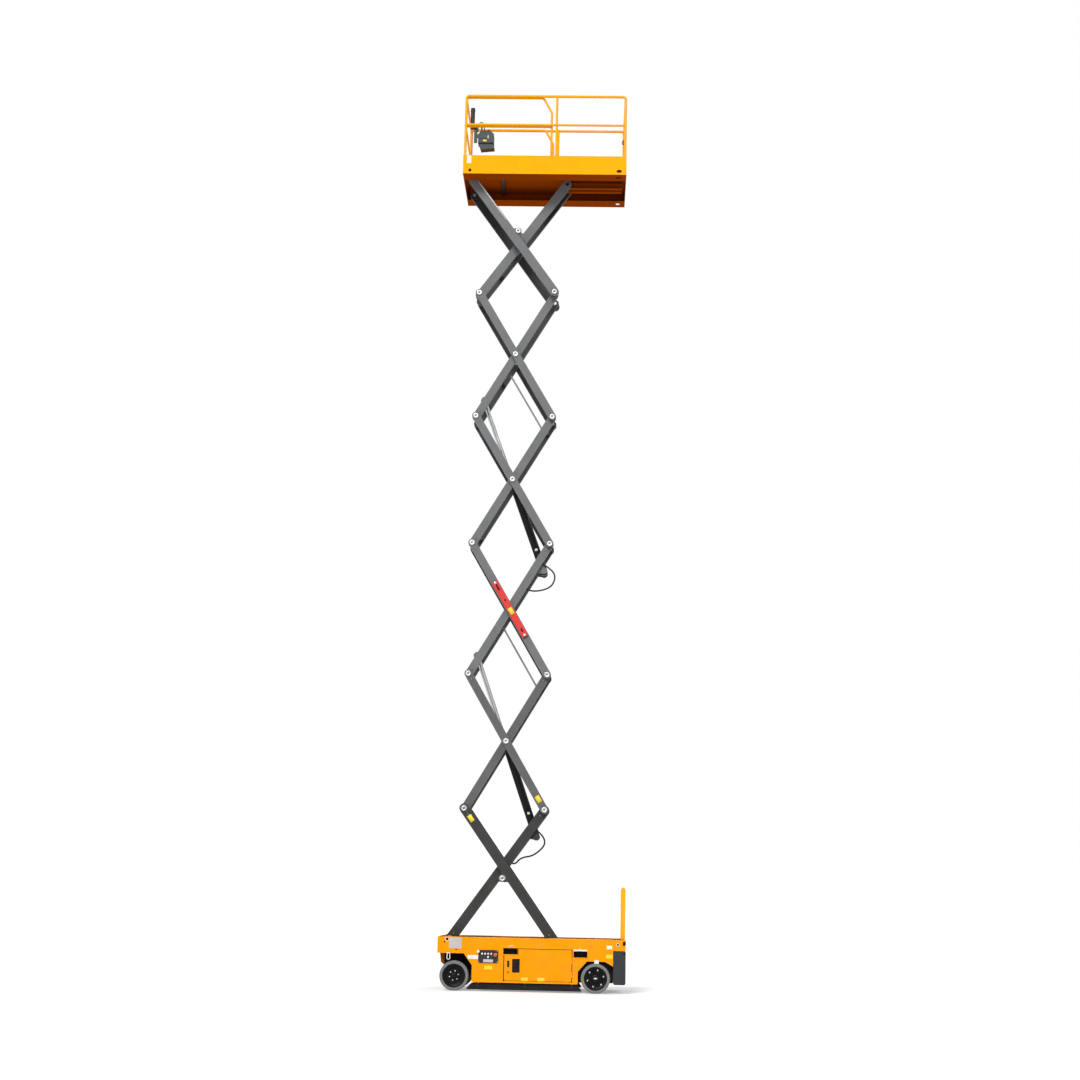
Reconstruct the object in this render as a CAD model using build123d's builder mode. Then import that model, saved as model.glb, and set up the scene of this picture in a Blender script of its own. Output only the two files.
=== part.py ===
from build123d import *
import math
import os

os.makedirs("parts", exist_ok=True)

# ---------------------------------------------------------------- driving sizes (mm)
half_width = 600.0       # half the width over the chassis sides and over the tyres
chassis_top = 688.0
chassis_low = 113.0
arch_top_front = 484.0   # underside of the chassis over the steered wheels
wheel_r = 190.5
tyre_w = 127.0
skin = 6.0               # sheet thickness of the chassis sides

half_arm = 1069.0        # centre pivot to end pin, the same in every stage
pivot_drop = 95.0        # centre pivot off the tube's middle in the bottom and top stages
lift_angle = 59.5        # slope of the middle-stage arms as modelled
base_z = 650.0           # bottom pins over the ground
tube_w = 50.0
mid_depth = 108.0
end_depth = 126.0
wall = 5.0
pin_r = 22.0
running = 1.0            # clearance of a turning bore round its pin
y_inner_end = 127.0      # middle of each arm plane, from the machine's centre plane
y_inner = y_inner_end + tube_w + 10
y_outer = y_inner + tube_w + 10
y_outer_end = y_outer + tube_w + 18
boss_r = 44.0

platform_drop = 41.0     # toe boards' lower edge under the top pins
deck_rise = 192.0        # deck surface over the toe boards' lower edge
toe_high = 283.0
rail_high = 1235.0
rail_r = 19.0

# ---------------------------------------------------------------- linkage
bend = math.asin(pivot_drop / half_arm)
lift = math.radians(lift_angle)
end_slope = lift - bend
end_length = 2 * half_arm * math.cos(bend)
stage_rise = 2 * half_arm * math.sin(lift)
end_rise = end_length * math.sin(end_slope)
rear_x = float(round(end_length / 2 + 175))   # rear end, with the entry ladder, to a whole millimetre
front_x = -rear_x        # front end; the steered wheels are at this end
wheel_front_x = front_x + 227
wheel_rear_x = rear_x - 393
base_x = front_x + 125   # fixed bottom pin
mid_x = base_x + half_arm * math.cos(end_slope - bend)
left_x = mid_x - half_arm * math.cos(lift)
right_x = mid_x + half_arm * math.cos(lift)
slide_x = 2 * mid_x - base_x
level = [base_z, base_z + end_rise]
for n in range(4):
    level.append(level[-1] + stage_rise)
top_z = level[5] + end_rise
centre_z = [base_z + half_arm * math.sin(end_slope - bend)]
for n in range(4):
    centre_z.append(level[n + 1] + stage_rise / 2)
centre_z.append(top_z - half_arm * math.sin(end_slope - bend))
slope = math.degrees(lift)
slope_end = math.degrees(end_slope)

# ---------------------------------------------------------------- scissor arms
# outer arms fall to the rear, inner arms rise to the rear
# name, low end x, low end z, slope, length, depth, plane y, centre pivot's offset
arms = [
    ("arm_outer_1", slide_x, level[0], 180 - slope_end, end_length, end_depth, y_outer_end, pivot_drop),
    ("arm_outer_2", right_x, level[1], 180 - slope, 2 * half_arm, mid_depth, y_outer, 0.0),
    ("arm_outer_3", right_x, level[2], 180 - slope, 2 * half_arm, mid_depth, y_outer, 0.0),
    ("arm_outer_4", right_x, level[3], 180 - slope, 2 * half_arm, mid_depth, y_outer, 0.0),
    ("arm_outer_5", right_x, level[4], 180 - slope, 2 * half_arm, mid_depth, y_outer, 0.0),
    ("arm_outer_6", right_x, level[5], 180 - slope_end, end_length, end_depth, y_outer_end, -pivot_drop),
    ("arm_inner_1", base_x, level[0], slope_end, end_length, end_depth, y_inner_end, -pivot_drop),
    ("arm_inner_2", left_x, level[1], slope, 2 * half_arm, mid_depth, y_inner, 0.0),
    ("arm_inner_3", left_x, level[2], slope, 2 * half_arm, mid_depth, y_inner, 0.0),
    ("arm_inner_4", left_x, level[3], slope, 2 * half_arm, mid_depth, y_inner, 0.0),
    ("arm_inner_5", left_x, level[4], slope, 2 * half_arm, mid_depth, y_inner, 0.0),
    ("arm_inner_6", left_x, level[5], slope_end, end_length, end_depth, y_inner_end, pivot_drop),
]
# cross tubes between the near and far tube of an inner arm, in the arm's own frame
# arm, along from the low end, up from the tube's middle, radius
cross_tubes = [
    ("arm_inner_1", 330.0, 0.0, 40.0),
    ("arm_inner_2", 2 * half_arm - 165.0, 0.0, 32.0),
    ("arm_inner_4", 2 * half_arm - 165.0, 0.0, 32.0),
    ("arm_inner_4", 165.0, 0.0, 32.0),
    ("arm_inner_5", 700.0, 24.0, 28.0),
    ("arm_inner_6", 480.0, 0.0, 40.0),
]
# lift cylinder base mounts: shaft right across between two cheek plates
# arm, along from the low end, up from the tube's middle
base_mounts = [
    ("arm_inner_1", end_length - 350.0, -117.0),
    ("arm_inner_3", 2 * half_arm - 350.0, -117.0),
]
# lift cylinder head mounts: half tubes that leave the middle open
head_mounts = [
    ("arm_inner_3", 290.0, 50.0),
    ("arm_inner_5", 290.0, 50.0),
]
mount_shaft_r = 28.0
cheek = 18.0
head_gap = 60.0          # half the clear width between the head lugs

for name, low_x, low_z, tilt, length, depth, plane_y, pivot in arms:
    run = (math.cos(math.radians(tilt)), 0, math.sin(math.radians(tilt)))
    turning = name.startswith("arm_inner")
    bore = pin_r + (running if turning else 0.0)
    with BuildPart() as arm:
        for side in (-1, 1):
            face = Plane(origin=(low_x, side * (plane_y + tube_w / 2), low_z), x_dir=run, z_dir=(0, -1, 0))
            with BuildSketch(face):
                with Locations((length / 2, 0)):
                    SlotCenterToCenter(length, depth)
            extrude(amount=side * tube_w)
            if pivot:
                with BuildSketch(face.offset(side * 8)):
                    with BuildLine():
                        Polyline((length / 2 - 115, 0), (length / 2 - 46, pivot * 1.15),
                                 (length / 2 + 46, pivot * 1.15), (length / 2 + 115, 0), close=True)
                    make_face()
                extrude(amount=side * (tube_w - 16))
                with BuildSketch(face):
                    with Locations((length / 2, pivot)):
                        Circle(boss_r)
                extrude(amount=side * tube_w)
        if turning:
            for owner, along, up, radius in cross_tubes:
                if owner == name:
                    start = Plane(origin=(low_x, -plane_y + tube_w / 2, low_z), x_dir=run, z_dir=(0, 1, 0))
                    with BuildSketch(start):
                        with Locations((along, -up)):
                            Circle(radius)
                            Circle(radius - wall, mode=Mode.SUBTRACT)
                    extrude(amount=2 * plane_y - tube_w)
            for owner, along, up in base_mounts:
                if owner == name:
                    start = Plane(origin=(low_x, -plane_y + tube_w / 2, low_z), x_dir=run, z_dir=(0, 1, 0))
                    with BuildSketch(start):
                        with Locations((along, -up)):
                            Circle(mount_shaft_r)
                    extrude(amount=2 * plane_y - tube_w)
                    for side in (-1, 1):
                        inside = Plane(origin=(low_x, side * (plane_y - tube_w / 2), low_z), x_dir=run,
                                       z_dir=(0, -side, 0))
                        flip = side
                        with BuildSketch(inside):
                            with BuildLine():
                                Polyline((along - 120, flip * 30), (along + 120, flip * 30),
                                         (along + 48, flip * up), (along - 48, flip * up), close=True)
                            make_face()
                            with Locations((along, flip * up)):
                                Circle(50)
                        extrude(amount=cheek)
            for owner, along, up in head_mounts:
                if owner == name:
                    for side in (-1, 1):
                        inside = Plane(origin=(low_x, side * head_gap, low_z), x_dir=run, z_dir=(0, side, 0))
                        with BuildSketch(inside):
                            with Locations((along, -side * up)):
                                Circle(34)
                        extrude(amount=plane_y - tube_w / 2 - head_gap)
                        with BuildSketch(inside):
                            with Locations((along, -side * up)):
                                Circle(52)
                        extrude(amount=14)
        for side in (-1, 1):
            face = Plane(origin=(low_x, side * (plane_y + tube_w / 2), low_z), x_dir=run, z_dir=(0, -1, 0))
            with BuildSketch(face):
                with Locations((0, 0), (length, 0), (length / 2, pivot)):
                    Circle(bore)
            extrude(amount=side * tube_w, mode=Mode.SUBTRACT)
            gap = 0.0 if pivot else boss_r
            reach = length / 2 - boss_r - 14 - gap
            with BuildSketch(face.offset(side * wall)):
                for middle in (boss_r + 14 + reach / 2, length - boss_r - 14 - reach / 2):
                    with Locations((middle, 0)):
                        Rectangle(reach - (0.0 if gap else 6.0), depth - 2 * wall)
            extrude(amount=side * (tube_w - 2 * wall), mode=Mode.SUBTRACT)
    arm.part.label = name
    export_step(arm.part, "parts/" + name + ".step")

# ---------------------------------------------------------------- scissor pins, one node per outer arm
pin_in = y_inner - tube_w / 2
pin_out = y_outer + tube_w / 2
pin_end_out = y_outer_end + tube_w / 2
# arm, x, z, inner end, outer end; an inner end of 0 is a shaft right across
pins = [
    ("1", left_x, level[1], pin_in, pin_end_out),
    ("1", mid_x, centre_z[0], 0.0, pin_end_out),
    ("2", right_x, level[1], 0.0, pin_out),
    ("2", mid_x, centre_z[1], pin_in, pin_out),
    ("2", left_x, level[2], pin_in, pin_out),
    ("3", right_x, level[2], 0.0, pin_out),
    ("3", mid_x, centre_z[2], pin_in, pin_out),
    ("3", left_x, level[3], 0.0, pin_out),
    ("4", right_x, level[3], 0.0, pin_out),
    ("4", mid_x, centre_z[3], pin_in, pin_out),
    ("4", left_x, level[4], pin_in, pin_out),
    ("5", right_x, level[4], 0.0, pin_out),
    ("5", mid_x, centre_z[4], pin_in, pin_out),
    ("5", left_x, level[5], 0.0, pin_out),
    ("6", right_x, level[5], pin_in, pin_end_out),
    ("6", mid_x, centre_z[5], 0.0, pin_end_out),
]
cap_r = 33.0
cap_t = 11.0
roller_r = 33.0
roller_w = 34.0
bracket_y = pin_end_out + 6      # inner face of the rollers and of the platform's pin brackets
bracket_w = 20.0
stub_y = y_outer_end - tube_w / 2
for stage in ("1", "2", "3", "4", "5", "6"):
    with BuildPart() as pin_set:
        for owner, x, z, inner, outer in pins:
            if owner == stage:
                for side in (-1, 1):
                    end = Plane(origin=(x, side * outer, z), x_dir=(1, 0, 0), z_dir=(0, side, 0))
                    with BuildSketch(end):
                        Circle(pin_r)
                    extrude(amount=inner - outer)
                    with BuildSketch(end):
                        Circle(cap_r)
                    extrude(amount=cap_t)
        if stage == "1":
            for side in (-1, 1):
                with BuildSketch(Plane(origin=(slide_x, side * stub_y, base_z), x_dir=(1, 0, 0), z_dir=(0, side, 0))):
                    Circle(pin_r)
                extrude(amount=bracket_y - stub_y + 1)
                with BuildSketch(Plane(origin=(slide_x, side * bracket_y, base_z), x_dir=(1, 0, 0),
                                       z_dir=(0, side, 0))):
                    Circle(roller_r)
                extrude(amount=roller_w)
        if stage == "6":
            for side in (-1, 1):
                with BuildSketch(Plane(origin=(base_x, side * stub_y, top_z), x_dir=(1, 0, 0), z_dir=(0, side, 0))):
                    Circle(pin_r)
                extrude(amount=bracket_y + bracket_w + 8 - stub_y)
    pin_set.part.label = "arm_pins_" + stage
    export_step(pin_set.part, "parts/arm_pins_" + stage + ".step")

base_bracket_y = y_inner_end - tube_w / 2 - 30     # the brackets stand inside the bottom inner arms
base_bracket_w = 24.0
with BuildPart() as base_pins:
    for side in (-1, 1):
        with BuildSketch(Plane(origin=(base_x, side * (base_bracket_y - 8), base_z), x_dir=(1, 0, 0),
                               z_dir=(0, side, 0))):
            Circle(pin_r)
        extrude(amount=y_inner_end + tube_w / 2 - base_bracket_y + 8)
base_pins.part.label = "base_pins"
export_step(base_pins.part, "parts/base_pins.step")

top_roller_w = 38.0
top_roller_y = y_inner_end - tube_w / 2 - 12 - top_roller_w
with BuildPart() as top_rollers:
    for side in (-1, 1):
        with BuildSketch(Plane(origin=(slide_x, side * top_roller_y, top_z), x_dir=(1, 0, 0), z_dir=(0, side, 0))):
            Circle(roller_r)
        extrude(amount=top_roller_w)
        with BuildSketch(Plane(origin=(slide_x, side * (top_roller_y + top_roller_w), top_z), x_dir=(1, 0, 0),
                               z_dir=(0, side, 0))):
            Circle(pin_r + running)
        extrude(amount=12 + tube_w - 2)
top_rollers.part.label = "top_rollers"
export_step(top_rollers.part, "parts/top_rollers.step")

# ---------------------------------------------------------------- lift cylinders
barrel_r = 55.0
barrel_bore = 42.0
rod_r = 32.0
barrel_len = 1330.0
rod_len = 1430.0
eye_w = 76.0


def along_arm(low_x, low_z, angle, along, up):
    """World x and z of a point given in an arm's own frame."""
    x = low_x + along * math.cos(angle) - up * math.sin(angle)
    z = low_z + along * math.sin(angle) + up * math.cos(angle)
    return (x, z)


# cylinder, base eye, head eye
cylinders = [
    ("1", along_arm(base_x, level[0], end_slope, end_length - 350.0, -117.0),
     along_arm(left_x, level[2], lift, 290.0, 50.0)),
    ("2", along_arm(left_x, level[2], lift, 2 * half_arm - 350.0, -117.0),
     along_arm(left_x, level[4], lift, 290.0, 50.0)),
]
for number, foot, head in cylinders:
    span = math.hypot(head[0] - foot[0], head[1] - foot[1])
    run = ((head[0] - foot[0]) / span, 0, (head[1] - foot[1]) / span)
    base = Plane(origin=(foot[0], 0, foot[1]), x_dir=(0, 1, 0), z_dir=run)
    flat = Plane(origin=(foot[0], -eye_w / 2, foot[1]), x_dir=run, z_dir=(0, 1, 0))
    tip = Plane(origin=(head[0], -eye_w / 2, head[1]), x_dir=run, z_dir=(0, 1, 0))
    with BuildPart() as barrel:
        with BuildSketch(flat):
            Circle(50)
            with Locations((35, 0)):
                Rectangle(50, 92)
        extrude(amount=eye_w)
        with BuildSketch(base.offset(52)):
            Circle(barrel_r)
        extrude(amount=barrel_len - 52)
        with BuildSketch(base.offset(barrel_len - 60)):
            Circle(barrel_r + 3)
        extrude(amount=60)
        with BuildSketch(base.offset(80)):
            Circle(barrel_bore)
        extrude(amount=barrel_len - 110, mode=Mode.SUBTRACT)
        with BuildSketch(base.offset(barrel_len - 40)):
            Circle(rod_r + running)
        extrude(amount=60, mode=Mode.SUBTRACT)
        with BuildSketch(flat):
            Circle(mount_shaft_r + running)
        extrude(amount=eye_w, mode=Mode.SUBTRACT)
    barrel.part.label = "cylinder_barrel_" + number
    export_step(barrel.part, "parts/cylinder_barrel_" + number + ".step")
    with BuildPart() as rod:
        with BuildSketch(base.offset(span - 30)):
            Circle(rod_r)
        extrude(amount=-rod_len + 30)
        with BuildSketch(base.offset(span - rod_len)):
            Circle(barrel_bore - running)
        extrude(amount=45)
        with BuildSketch(tip):
            Circle(46)
        extrude(amount=eye_w)
        with BuildSketch(tip.offset(-16)):
            Circle(24)
        extrude(amount=eye_w + 32)
    rod.part.label = "cylinder_rod_" + number
    export_step(rod.part, "parts/cylinder_rod_" + number + ".step")

# ---------------------------------------------------------------- hose guide bars, parallel to the outer arms
guide_back = 230.0
guide_y = pin_in - 26
# number, lower pivot arm's upper pin, level and slope
for number, n in (("3", 2), ("5", 4)):
    foot_x = right_x - guide_back * math.cos(lift)
    foot_z = level[n] - guide_back * math.sin(lift)
    run = (-math.cos(lift), 0, math.sin(lift))
    with BuildPart() as bar:
        face = Plane(origin=(foot_x, -guide_y, foot_z), x_dir=run, z_dir=(0, -1, 0))
        with BuildSketch(face):
            with Locations((half_arm / 2, 0)):
                SlotCenterToCenter(half_arm, 26)
        extrude(amount=-8)
        with BuildSketch(face):
            with Locations((0, 0), (half_arm, 0)):
                Circle(9)
        extrude(amount=26)
    bar.part.label = "hose_guide_" + number
    export_step(bar.part, "parts/hose_guide_" + number + ".step")

# ---------------------------------------------------------------- hydraulic hoses that hang in a loop below an inner arm
hose_r = 11.0
# number, arm's low end x and z, slope, length, half depth, plane y, loop's points back from the arm's end and down
hose_loops = [
    ("1", base_x, level[0], end_slope, end_length, end_depth / 2, y_inner_end,
     ((280, 290), (560, 262), (700, 120), (830, 112))),
    ("3", left_x, level[2], lift, 2 * half_arm, mid_depth / 2, y_inner,
     ((285, 230), (370, 325), (530, 330), (705, 140))),
]
for number, low_x, low_z, angle, length, under, plane_y, loop in hose_loops:
    route = [(loop[0][0], under)] + list(loop) + [(loop[-1][0], under)]
    stops = []
    for back, down in route:
        x, z = along_arm(low_x, low_z, angle, length - back, -down)
        stops.append((x, -plane_y, z))
    with BuildPart() as hose:
        with BuildLine() as path:
            FilletPolyline(*stops, radius=40)
        with BuildSketch(Plane(origin=path.line @ 0, z_dir=path.line % 0)):
            Circle(hose_r)
        sweep(path=path.line)
    hose.part.label = "hose_loop_" + number
    export_step(hose.part, "parts/hose_loop_" + number + ".step")

# ---------------------------------------------------------------- maintenance prop on the third outer arm
prop_half = 440.0
with BuildPart() as prop:
    face = Plane(origin=(mid_x, -(y_outer + tube_w / 2), centre_z[2]), x_dir=(-math.cos(lift), 0, math.sin(lift)),
                 z_dir=(0, -1, 0))
    with BuildSketch(face):
        with Locations((-20, 0)):
            Rectangle(2 * prop_half, 84)
    extrude(amount=32)
    with BuildSketch(face):
        with Locations((-20, 0)):
            Rectangle(2 * prop_half + 2, 72)
    extrude(amount=26, mode=Mode.SUBTRACT)
prop.part.label = "safety_prop"
export_step(prop.part, "parts/safety_prop.step")

# ---------------------------------------------------------------- chassis
well_floor = 440.0
wall_y = bracket_y + 49
sill_front_x = wheel_front_x + 233
bulkhead_x = wheel_front_x + 263
arch_rear_x0 = wheel_rear_x - 233
arch_rear_x1 = wheel_rear_x + 228
tail_low = 550.0
door_x0 = sill_front_x + 420
door_x1 = arch_rear_x0 - 77
door_z0 = 137.0
door_z1 = 553.0
panel_x = sill_front_x + 213.5
panel_z = 443.5
hinge_heights = (235.0, 405.0)
guard_y = half_width - 39
guard_hinge_z = 99.0
guard_lugs = (sill_front_x + 80, (sill_front_x + arch_rear_x0) / 2, arch_rear_x0 - 84)
track_x0 = slide_x - 60
track_x1 = arch_rear_x1
# lifting pockets in each side: x range and lower edge
pockets = [(door_x0 - 11, door_x0 + 181, 478.0), (arch_rear_x0 - 58, arch_rear_x0 + 122, 455.0)]
pocket_high = 80.0
pocket_deep = 100.0
# tie-down eyes in each side: x, z, hole radius, boss radius
tie_downs = [(front_x + 126, 657.0, 18.0, 28.0), (rear_x - 103, 628.0, 14.0, 25.0)]
with BuildPart() as chassis:
    for off in (half_width, -half_width + skin):
        with BuildSketch(Plane.XZ.offset(off)):
            with BuildLine():
                Polyline((front_x, chassis_top), (front_x, arch_top_front), (wheel_front_x + 117, arch_top_front),
                         (sill_front_x, 329), (sill_front_x, chassis_low), (arch_rear_x0, chassis_low),
                         (arch_rear_x0, 276), (wheel_rear_x - 114, 408), (wheel_rear_x + 121, 408),
                         (arch_rear_x1, 350), (arch_rear_x1, tail_low), (rear_x, tail_low),
                         (rear_x, chassis_top), close=True)
            make_face()
            with Locations(((door_x0 + door_x1) / 2, (door_z0 + door_z1) / 2)):
                Rectangle(door_x1 - door_x0, door_z1 - door_z0, mode=Mode.SUBTRACT)
            with Locations((panel_x, panel_z)):
                Rectangle(247, 153, mode=Mode.SUBTRACT)
            for x0, x1, z0 in pockets:
                with Locations(((x0 + x1) / 2, z0 + pocket_high / 2)):
                    Rectangle(x1 - x0, pocket_high, mode=Mode.SUBTRACT)
        extrude(amount=-skin)
    # well walls beside the folded arms, decks over the side compartments and the end plates
    for off in (wall_y + skin, -wall_y):
        with BuildSketch(Plane.XZ.offset(off)):
            with BuildLine():
                Polyline((front_x, chassis_top), (front_x, arch_top_front), (bulkhead_x, arch_top_front),
                         (bulkhead_x, well_floor - skin), (arch_rear_x1 - 3, well_floor - skin),
                         (arch_rear_x1 - 3, tail_low), (rear_x, tail_low), (rear_x, chassis_top), close=True)
            make_face()
        extrude(amount=-skin)
    with BuildSketch(Plane.XY.offset(chassis_top - skin)):
        with Locations((0, (half_width + wall_y) / 2), (0, -(half_width + wall_y) / 2)):
            Rectangle(rear_x - front_x, half_width - wall_y)
    extrude(amount=skin)
    with BuildSketch(Plane.YZ.offset(front_x)):
        with Locations((0, (chassis_top + arch_top_front) / 2)):
            Rectangle(2 * half_width, chassis_top - arch_top_front)
    extrude(amount=skin)
    with BuildSketch(Plane.YZ.offset(rear_x - skin)):
        with Locations((0, (chassis_top + tail_low) / 2)):
            Rectangle(2 * half_width, chassis_top - tail_low)
    extrude(amount=skin)
    with BuildSketch(Plane.XY.offset(tail_low)):
        with Locations(((arch_rear_x1 + rear_x) / 2, 0)):
            Rectangle(rear_x - arch_rear_x1, 2 * half_width)
    extrude(amount=skin)
    with BuildSketch(Plane.XY.offset(arch_top_front - skin)):
        with Locations(((front_x + bulkhead_x) / 2, 0)):
            Rectangle(bulkhead_x - front_x, 2 * half_width)
    extrude(amount=skin)
    with BuildSketch(Plane.XY.offset(well_floor - skin)):
        with Locations(((bulkhead_x + arch_rear_x1 - 3) / 2, 0)):
            Rectangle(arch_rear_x1 - 3 - bulkhead_x, 2 * wall_y)
    extrude(amount=skin)
    with BuildSketch(Plane.YZ.offset(arch_rear_x1 - 3 - skin)):
        with Locations((0, (well_floor + tail_low) / 2)):
            Rectangle(2 * wall_y, tail_low - well_floor + 2 * skin)
    extrude(amount=skin)
    with BuildSketch(Plane.XY.offset(chassis_low)):
        with Locations(((bulkhead_x + arch_rear_x0) / 2, 0)):
            Rectangle(arch_rear_x0 - bulkhead_x, 2 * half_width)
    extrude(amount=skin)
    with BuildSketch(Plane.YZ.offset(bulkhead_x)):
        with Locations((0, (chassis_low + arch_top_front) / 2)):
            Rectangle(2 * half_width, arch_top_front - chassis_low)
    extrude(amount=skin)
    with BuildSketch(Plane.YZ.offset(arch_rear_x0 - skin)):
        with Locations((0, (chassis_low + well_floor) / 2)):
            Rectangle(2 * half_width, well_floor - chassis_low)
    extrude(amount=skin)
    # rear wheel arches, and the plates behind the rear wheels, open round the axle
    arch_y = half_width - 150
    for off in (half_width, -arch_y):
        with BuildSketch(Plane.XZ.offset(off)):
            with BuildLine():
                Polyline((arch_rear_x0, 276), (wheel_rear_x - 114, 408), (wheel_rear_x + 121, 408),
                         (arch_rear_x1, 350), (arch_rear_x1, 430), (arch_rear_x0 - 6, 430), (arch_rear_x0 - 6, 276),
                         close=True)
            make_face()
            with BuildLine():
                Polyline((arch_rear_x0, 284), (wheel_rear_x - 117, 414), (wheel_rear_x + 123, 414),
                         (arch_rear_x1 - 6, 360), (arch_rear_x1 - 6, 424), (arch_rear_x0, 424), close=True)
            make_face(mode=Mode.SUBTRACT)
        extrude(amount=-(half_width - arch_y))
    for off in (arch_y + skin, -arch_y):
        with BuildSketch(Plane.XZ.offset(off)):
            with BuildLine():
                Polyline((arch_rear_x0, 130), (wheel_rear_x - 85, 130), (wheel_rear_x - 85, 285),
                         (wheel_rear_x + 85, 285), (wheel_rear_x + 85, 130), (arch_rear_x1, 130),
                         (arch_rear_x1, 430), (arch_rear_x0, 430), close=True)
            make_face()
        extrude(amount=-skin)
    # lifting pockets, closed at the back
    for side in (-1, 1):
        for x0, x1, z0 in pockets:
            mouth = Plane(origin=((x0 + x1) / 2, side * half_width, z0 + pocket_high / 2), x_dir=(1, 0, 0),
                          z_dir=(0, side, 0))
            with BuildSketch(mouth):
                Rectangle(x1 - x0 + 8, pocket_high + 8)
            extrude(amount=-pocket_deep)
            with BuildSketch(mouth):
                Rectangle(x1 - x0, pocket_high)
            extrude(amount=4 - pocket_deep, mode=Mode.SUBTRACT)
    # fixed halves of the side door hinges, each with its pin
    for side in (-1, 1):
        for z in hinge_heights:
            for low in (z - 37, z + 21):
                with BuildSketch(Plane.XY.offset(low)):
                    with Locations((door_x1, side * (half_width + 8))):
                        Circle(7)
                    with Locations((door_x1 + 14, side * (half_width + 2.5))):
                        Rectangle(28, 5)
                extrude(amount=16)
            with BuildSketch(Plane.XY.offset(z - 37)):
                with Locations((door_x1, side * (half_width + 8))):
                    Circle(3)
            extrude(amount=74)
    # hinge lugs of the pothole guards
    for side in (-1, 1):
        for x in guard_lugs:
            with BuildSketch(Plane.YZ.offset(x - 6)):
                with Locations((side * guard_y, 103)):
                    Rectangle(28, 22)
                with Locations((side * guard_y, guard_hinge_z)):
                    Circle(14)
                    Circle(7.5, mode=Mode.SUBTRACT)
            extrude(amount=12)
    for side in (-1, 1):
        for x, z, eye_r, tie_boss_r in tie_downs:
            eye = Plane(origin=(x, side * (half_width - 20), z), x_dir=(1, 0, 0), z_dir=(0, side, 0))
            with BuildSketch(eye):
                Circle(tie_boss_r)
            extrude(amount=20)
            with BuildSketch(eye):
                Circle(eye_r)
            extrude(amount=20, mode=Mode.SUBTRACT)
    # tracks of the moving bottom rollers
    for side in (-1, 1):
        with BuildSketch(Plane.YZ.offset(track_x0)):
            for z in (base_z + roller_r + 4, base_z - roller_r - 4):
                with Locations((side * (bracket_y - 2 + wall_y) / 2, z)):
                    Rectangle(wall_y - bracket_y + 2, 6)
        extrude(amount=track_x1 - track_x0)
    # fixed pin brackets
    for side in (-1, 1):
        cheek_face = Plane(origin=(0, side * base_bracket_y, 0), x_dir=(1, 0, 0), z_dir=(0, side, 0))
        with BuildSketch(cheek_face):
            with BuildLine():
                Polyline((base_x - 95, side * -(arch_top_front - skin)), (base_x + 95, side * -(arch_top_front - skin)),
                         (base_x + 42, side * -base_z), (base_x - 42, side * -base_z), close=True)
            make_face()
            with Locations((base_x, side * -base_z)):
                Circle(44)
        extrude(amount=base_bracket_w)
        with BuildSketch(cheek_face):
            with Locations((base_x, side * -base_z)):
                Circle(pin_r)
        extrude(amount=base_bracket_w, mode=Mode.SUBTRACT)
chassis.part.label = "chassis"
export_step(chassis.part, "parts/chassis.step")

# ---------------------------------------------------------------- heavy masses inside the chassis
with BuildPart() as ballast:
    with BuildSketch(Plane.XZ.offset(280)):
        with BuildLine():
            Polyline((front_x + 12, 478), (front_x + 26, 352), (front_x + 90, 296), (front_x + 150, 252),
                     (bulkhead_x - 6, 252), (bulkhead_x - 6, 478), close=True)
        make_face()
    extrude(amount=-560)
ballast.part.label = "front_ballast"
export_step(ballast.part, "parts/front_ballast.step")

battery_y0 = 150.0
battery_y1 = half_width - 50
with BuildPart() as batteries:
    for side in (-1, 1):
        with BuildSketch(Plane.XY.offset(chassis_low + skin)):
            with Locations(((door_x0 + door_x1) / 2, side * (battery_y0 + battery_y1) / 2)):
                Rectangle(door_x1 - door_x0 - 137, battery_y1 - battery_y0)
        extrude(amount=290)
batteries.part.label = "battery_packs"
export_step(batteries.part, "parts/battery_packs.step")

# ---------------------------------------------------------------- side service doors, hinged at their rear edge
door_gap = 6.0
door_skin = 8.0
for name, side in (("service_door_near", -1), ("service_door_far", 1)):
    with BuildPart() as door:
        face = Plane(origin=(0, side * (half_width + 2), 0), x_dir=(1, 0, 0), z_dir=(0, side, 0))
        mid_door = ((door_x0 + door_x1) / 2, side * -(door_z0 + door_z1) / 2)
        with BuildSketch(face):
            with Locations(mid_door):
                RectangleRounded(door_x1 - door_x0 - 2 * door_gap, door_z1 - door_z0 - 2 * door_gap, 14)
        extrude(amount=-door_skin)
        with BuildSketch(face.offset(-door_skin)):
            with Locations(mid_door):
                RectangleRounded(door_x1 - door_x0 - 40, door_z1 - door_z0 - 40, 14)
                RectangleRounded(door_x1 - door_x0 - 48, door_z1 - door_z0 - 48, 10, mode=Mode.SUBTRACT)
        extrude(amount=-40)
        # corner cut out round the lifting pocket, and the vent slots
        with BuildSketch(face):
            with Locations(((door_x0 + pockets[0][1] + 10) / 2, side * -(pockets[0][2] - 10 + door_z1) / 2)):
                Rectangle(pockets[0][1] + 10 - door_x0, door_z1 - pockets[0][2] + 10)
            for n in range(7):
                with Locations((door_x0 + 160, side * -(262 + 24 * n))):
                    Rectangle(92, 10)
        extrude(amount=-48, mode=Mode.SUBTRACT)
        for z in hinge_heights:
            with BuildSketch(Plane.XY.offset(z - 20)):
                with Locations((door_x1, side * (half_width + 8))):
                    Circle(7)
                with Locations((door_x1 - 14, side * (half_width + 4))):
                    Rectangle(28, 4)
                with Locations((door_x1, side * (half_width + 8))):
                    Circle(3.5, mode=Mode.SUBTRACT)
            extrude(amount=40)
    door.part.label = name
    export_step(door.part, "parts/" + name + ".step")

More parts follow.
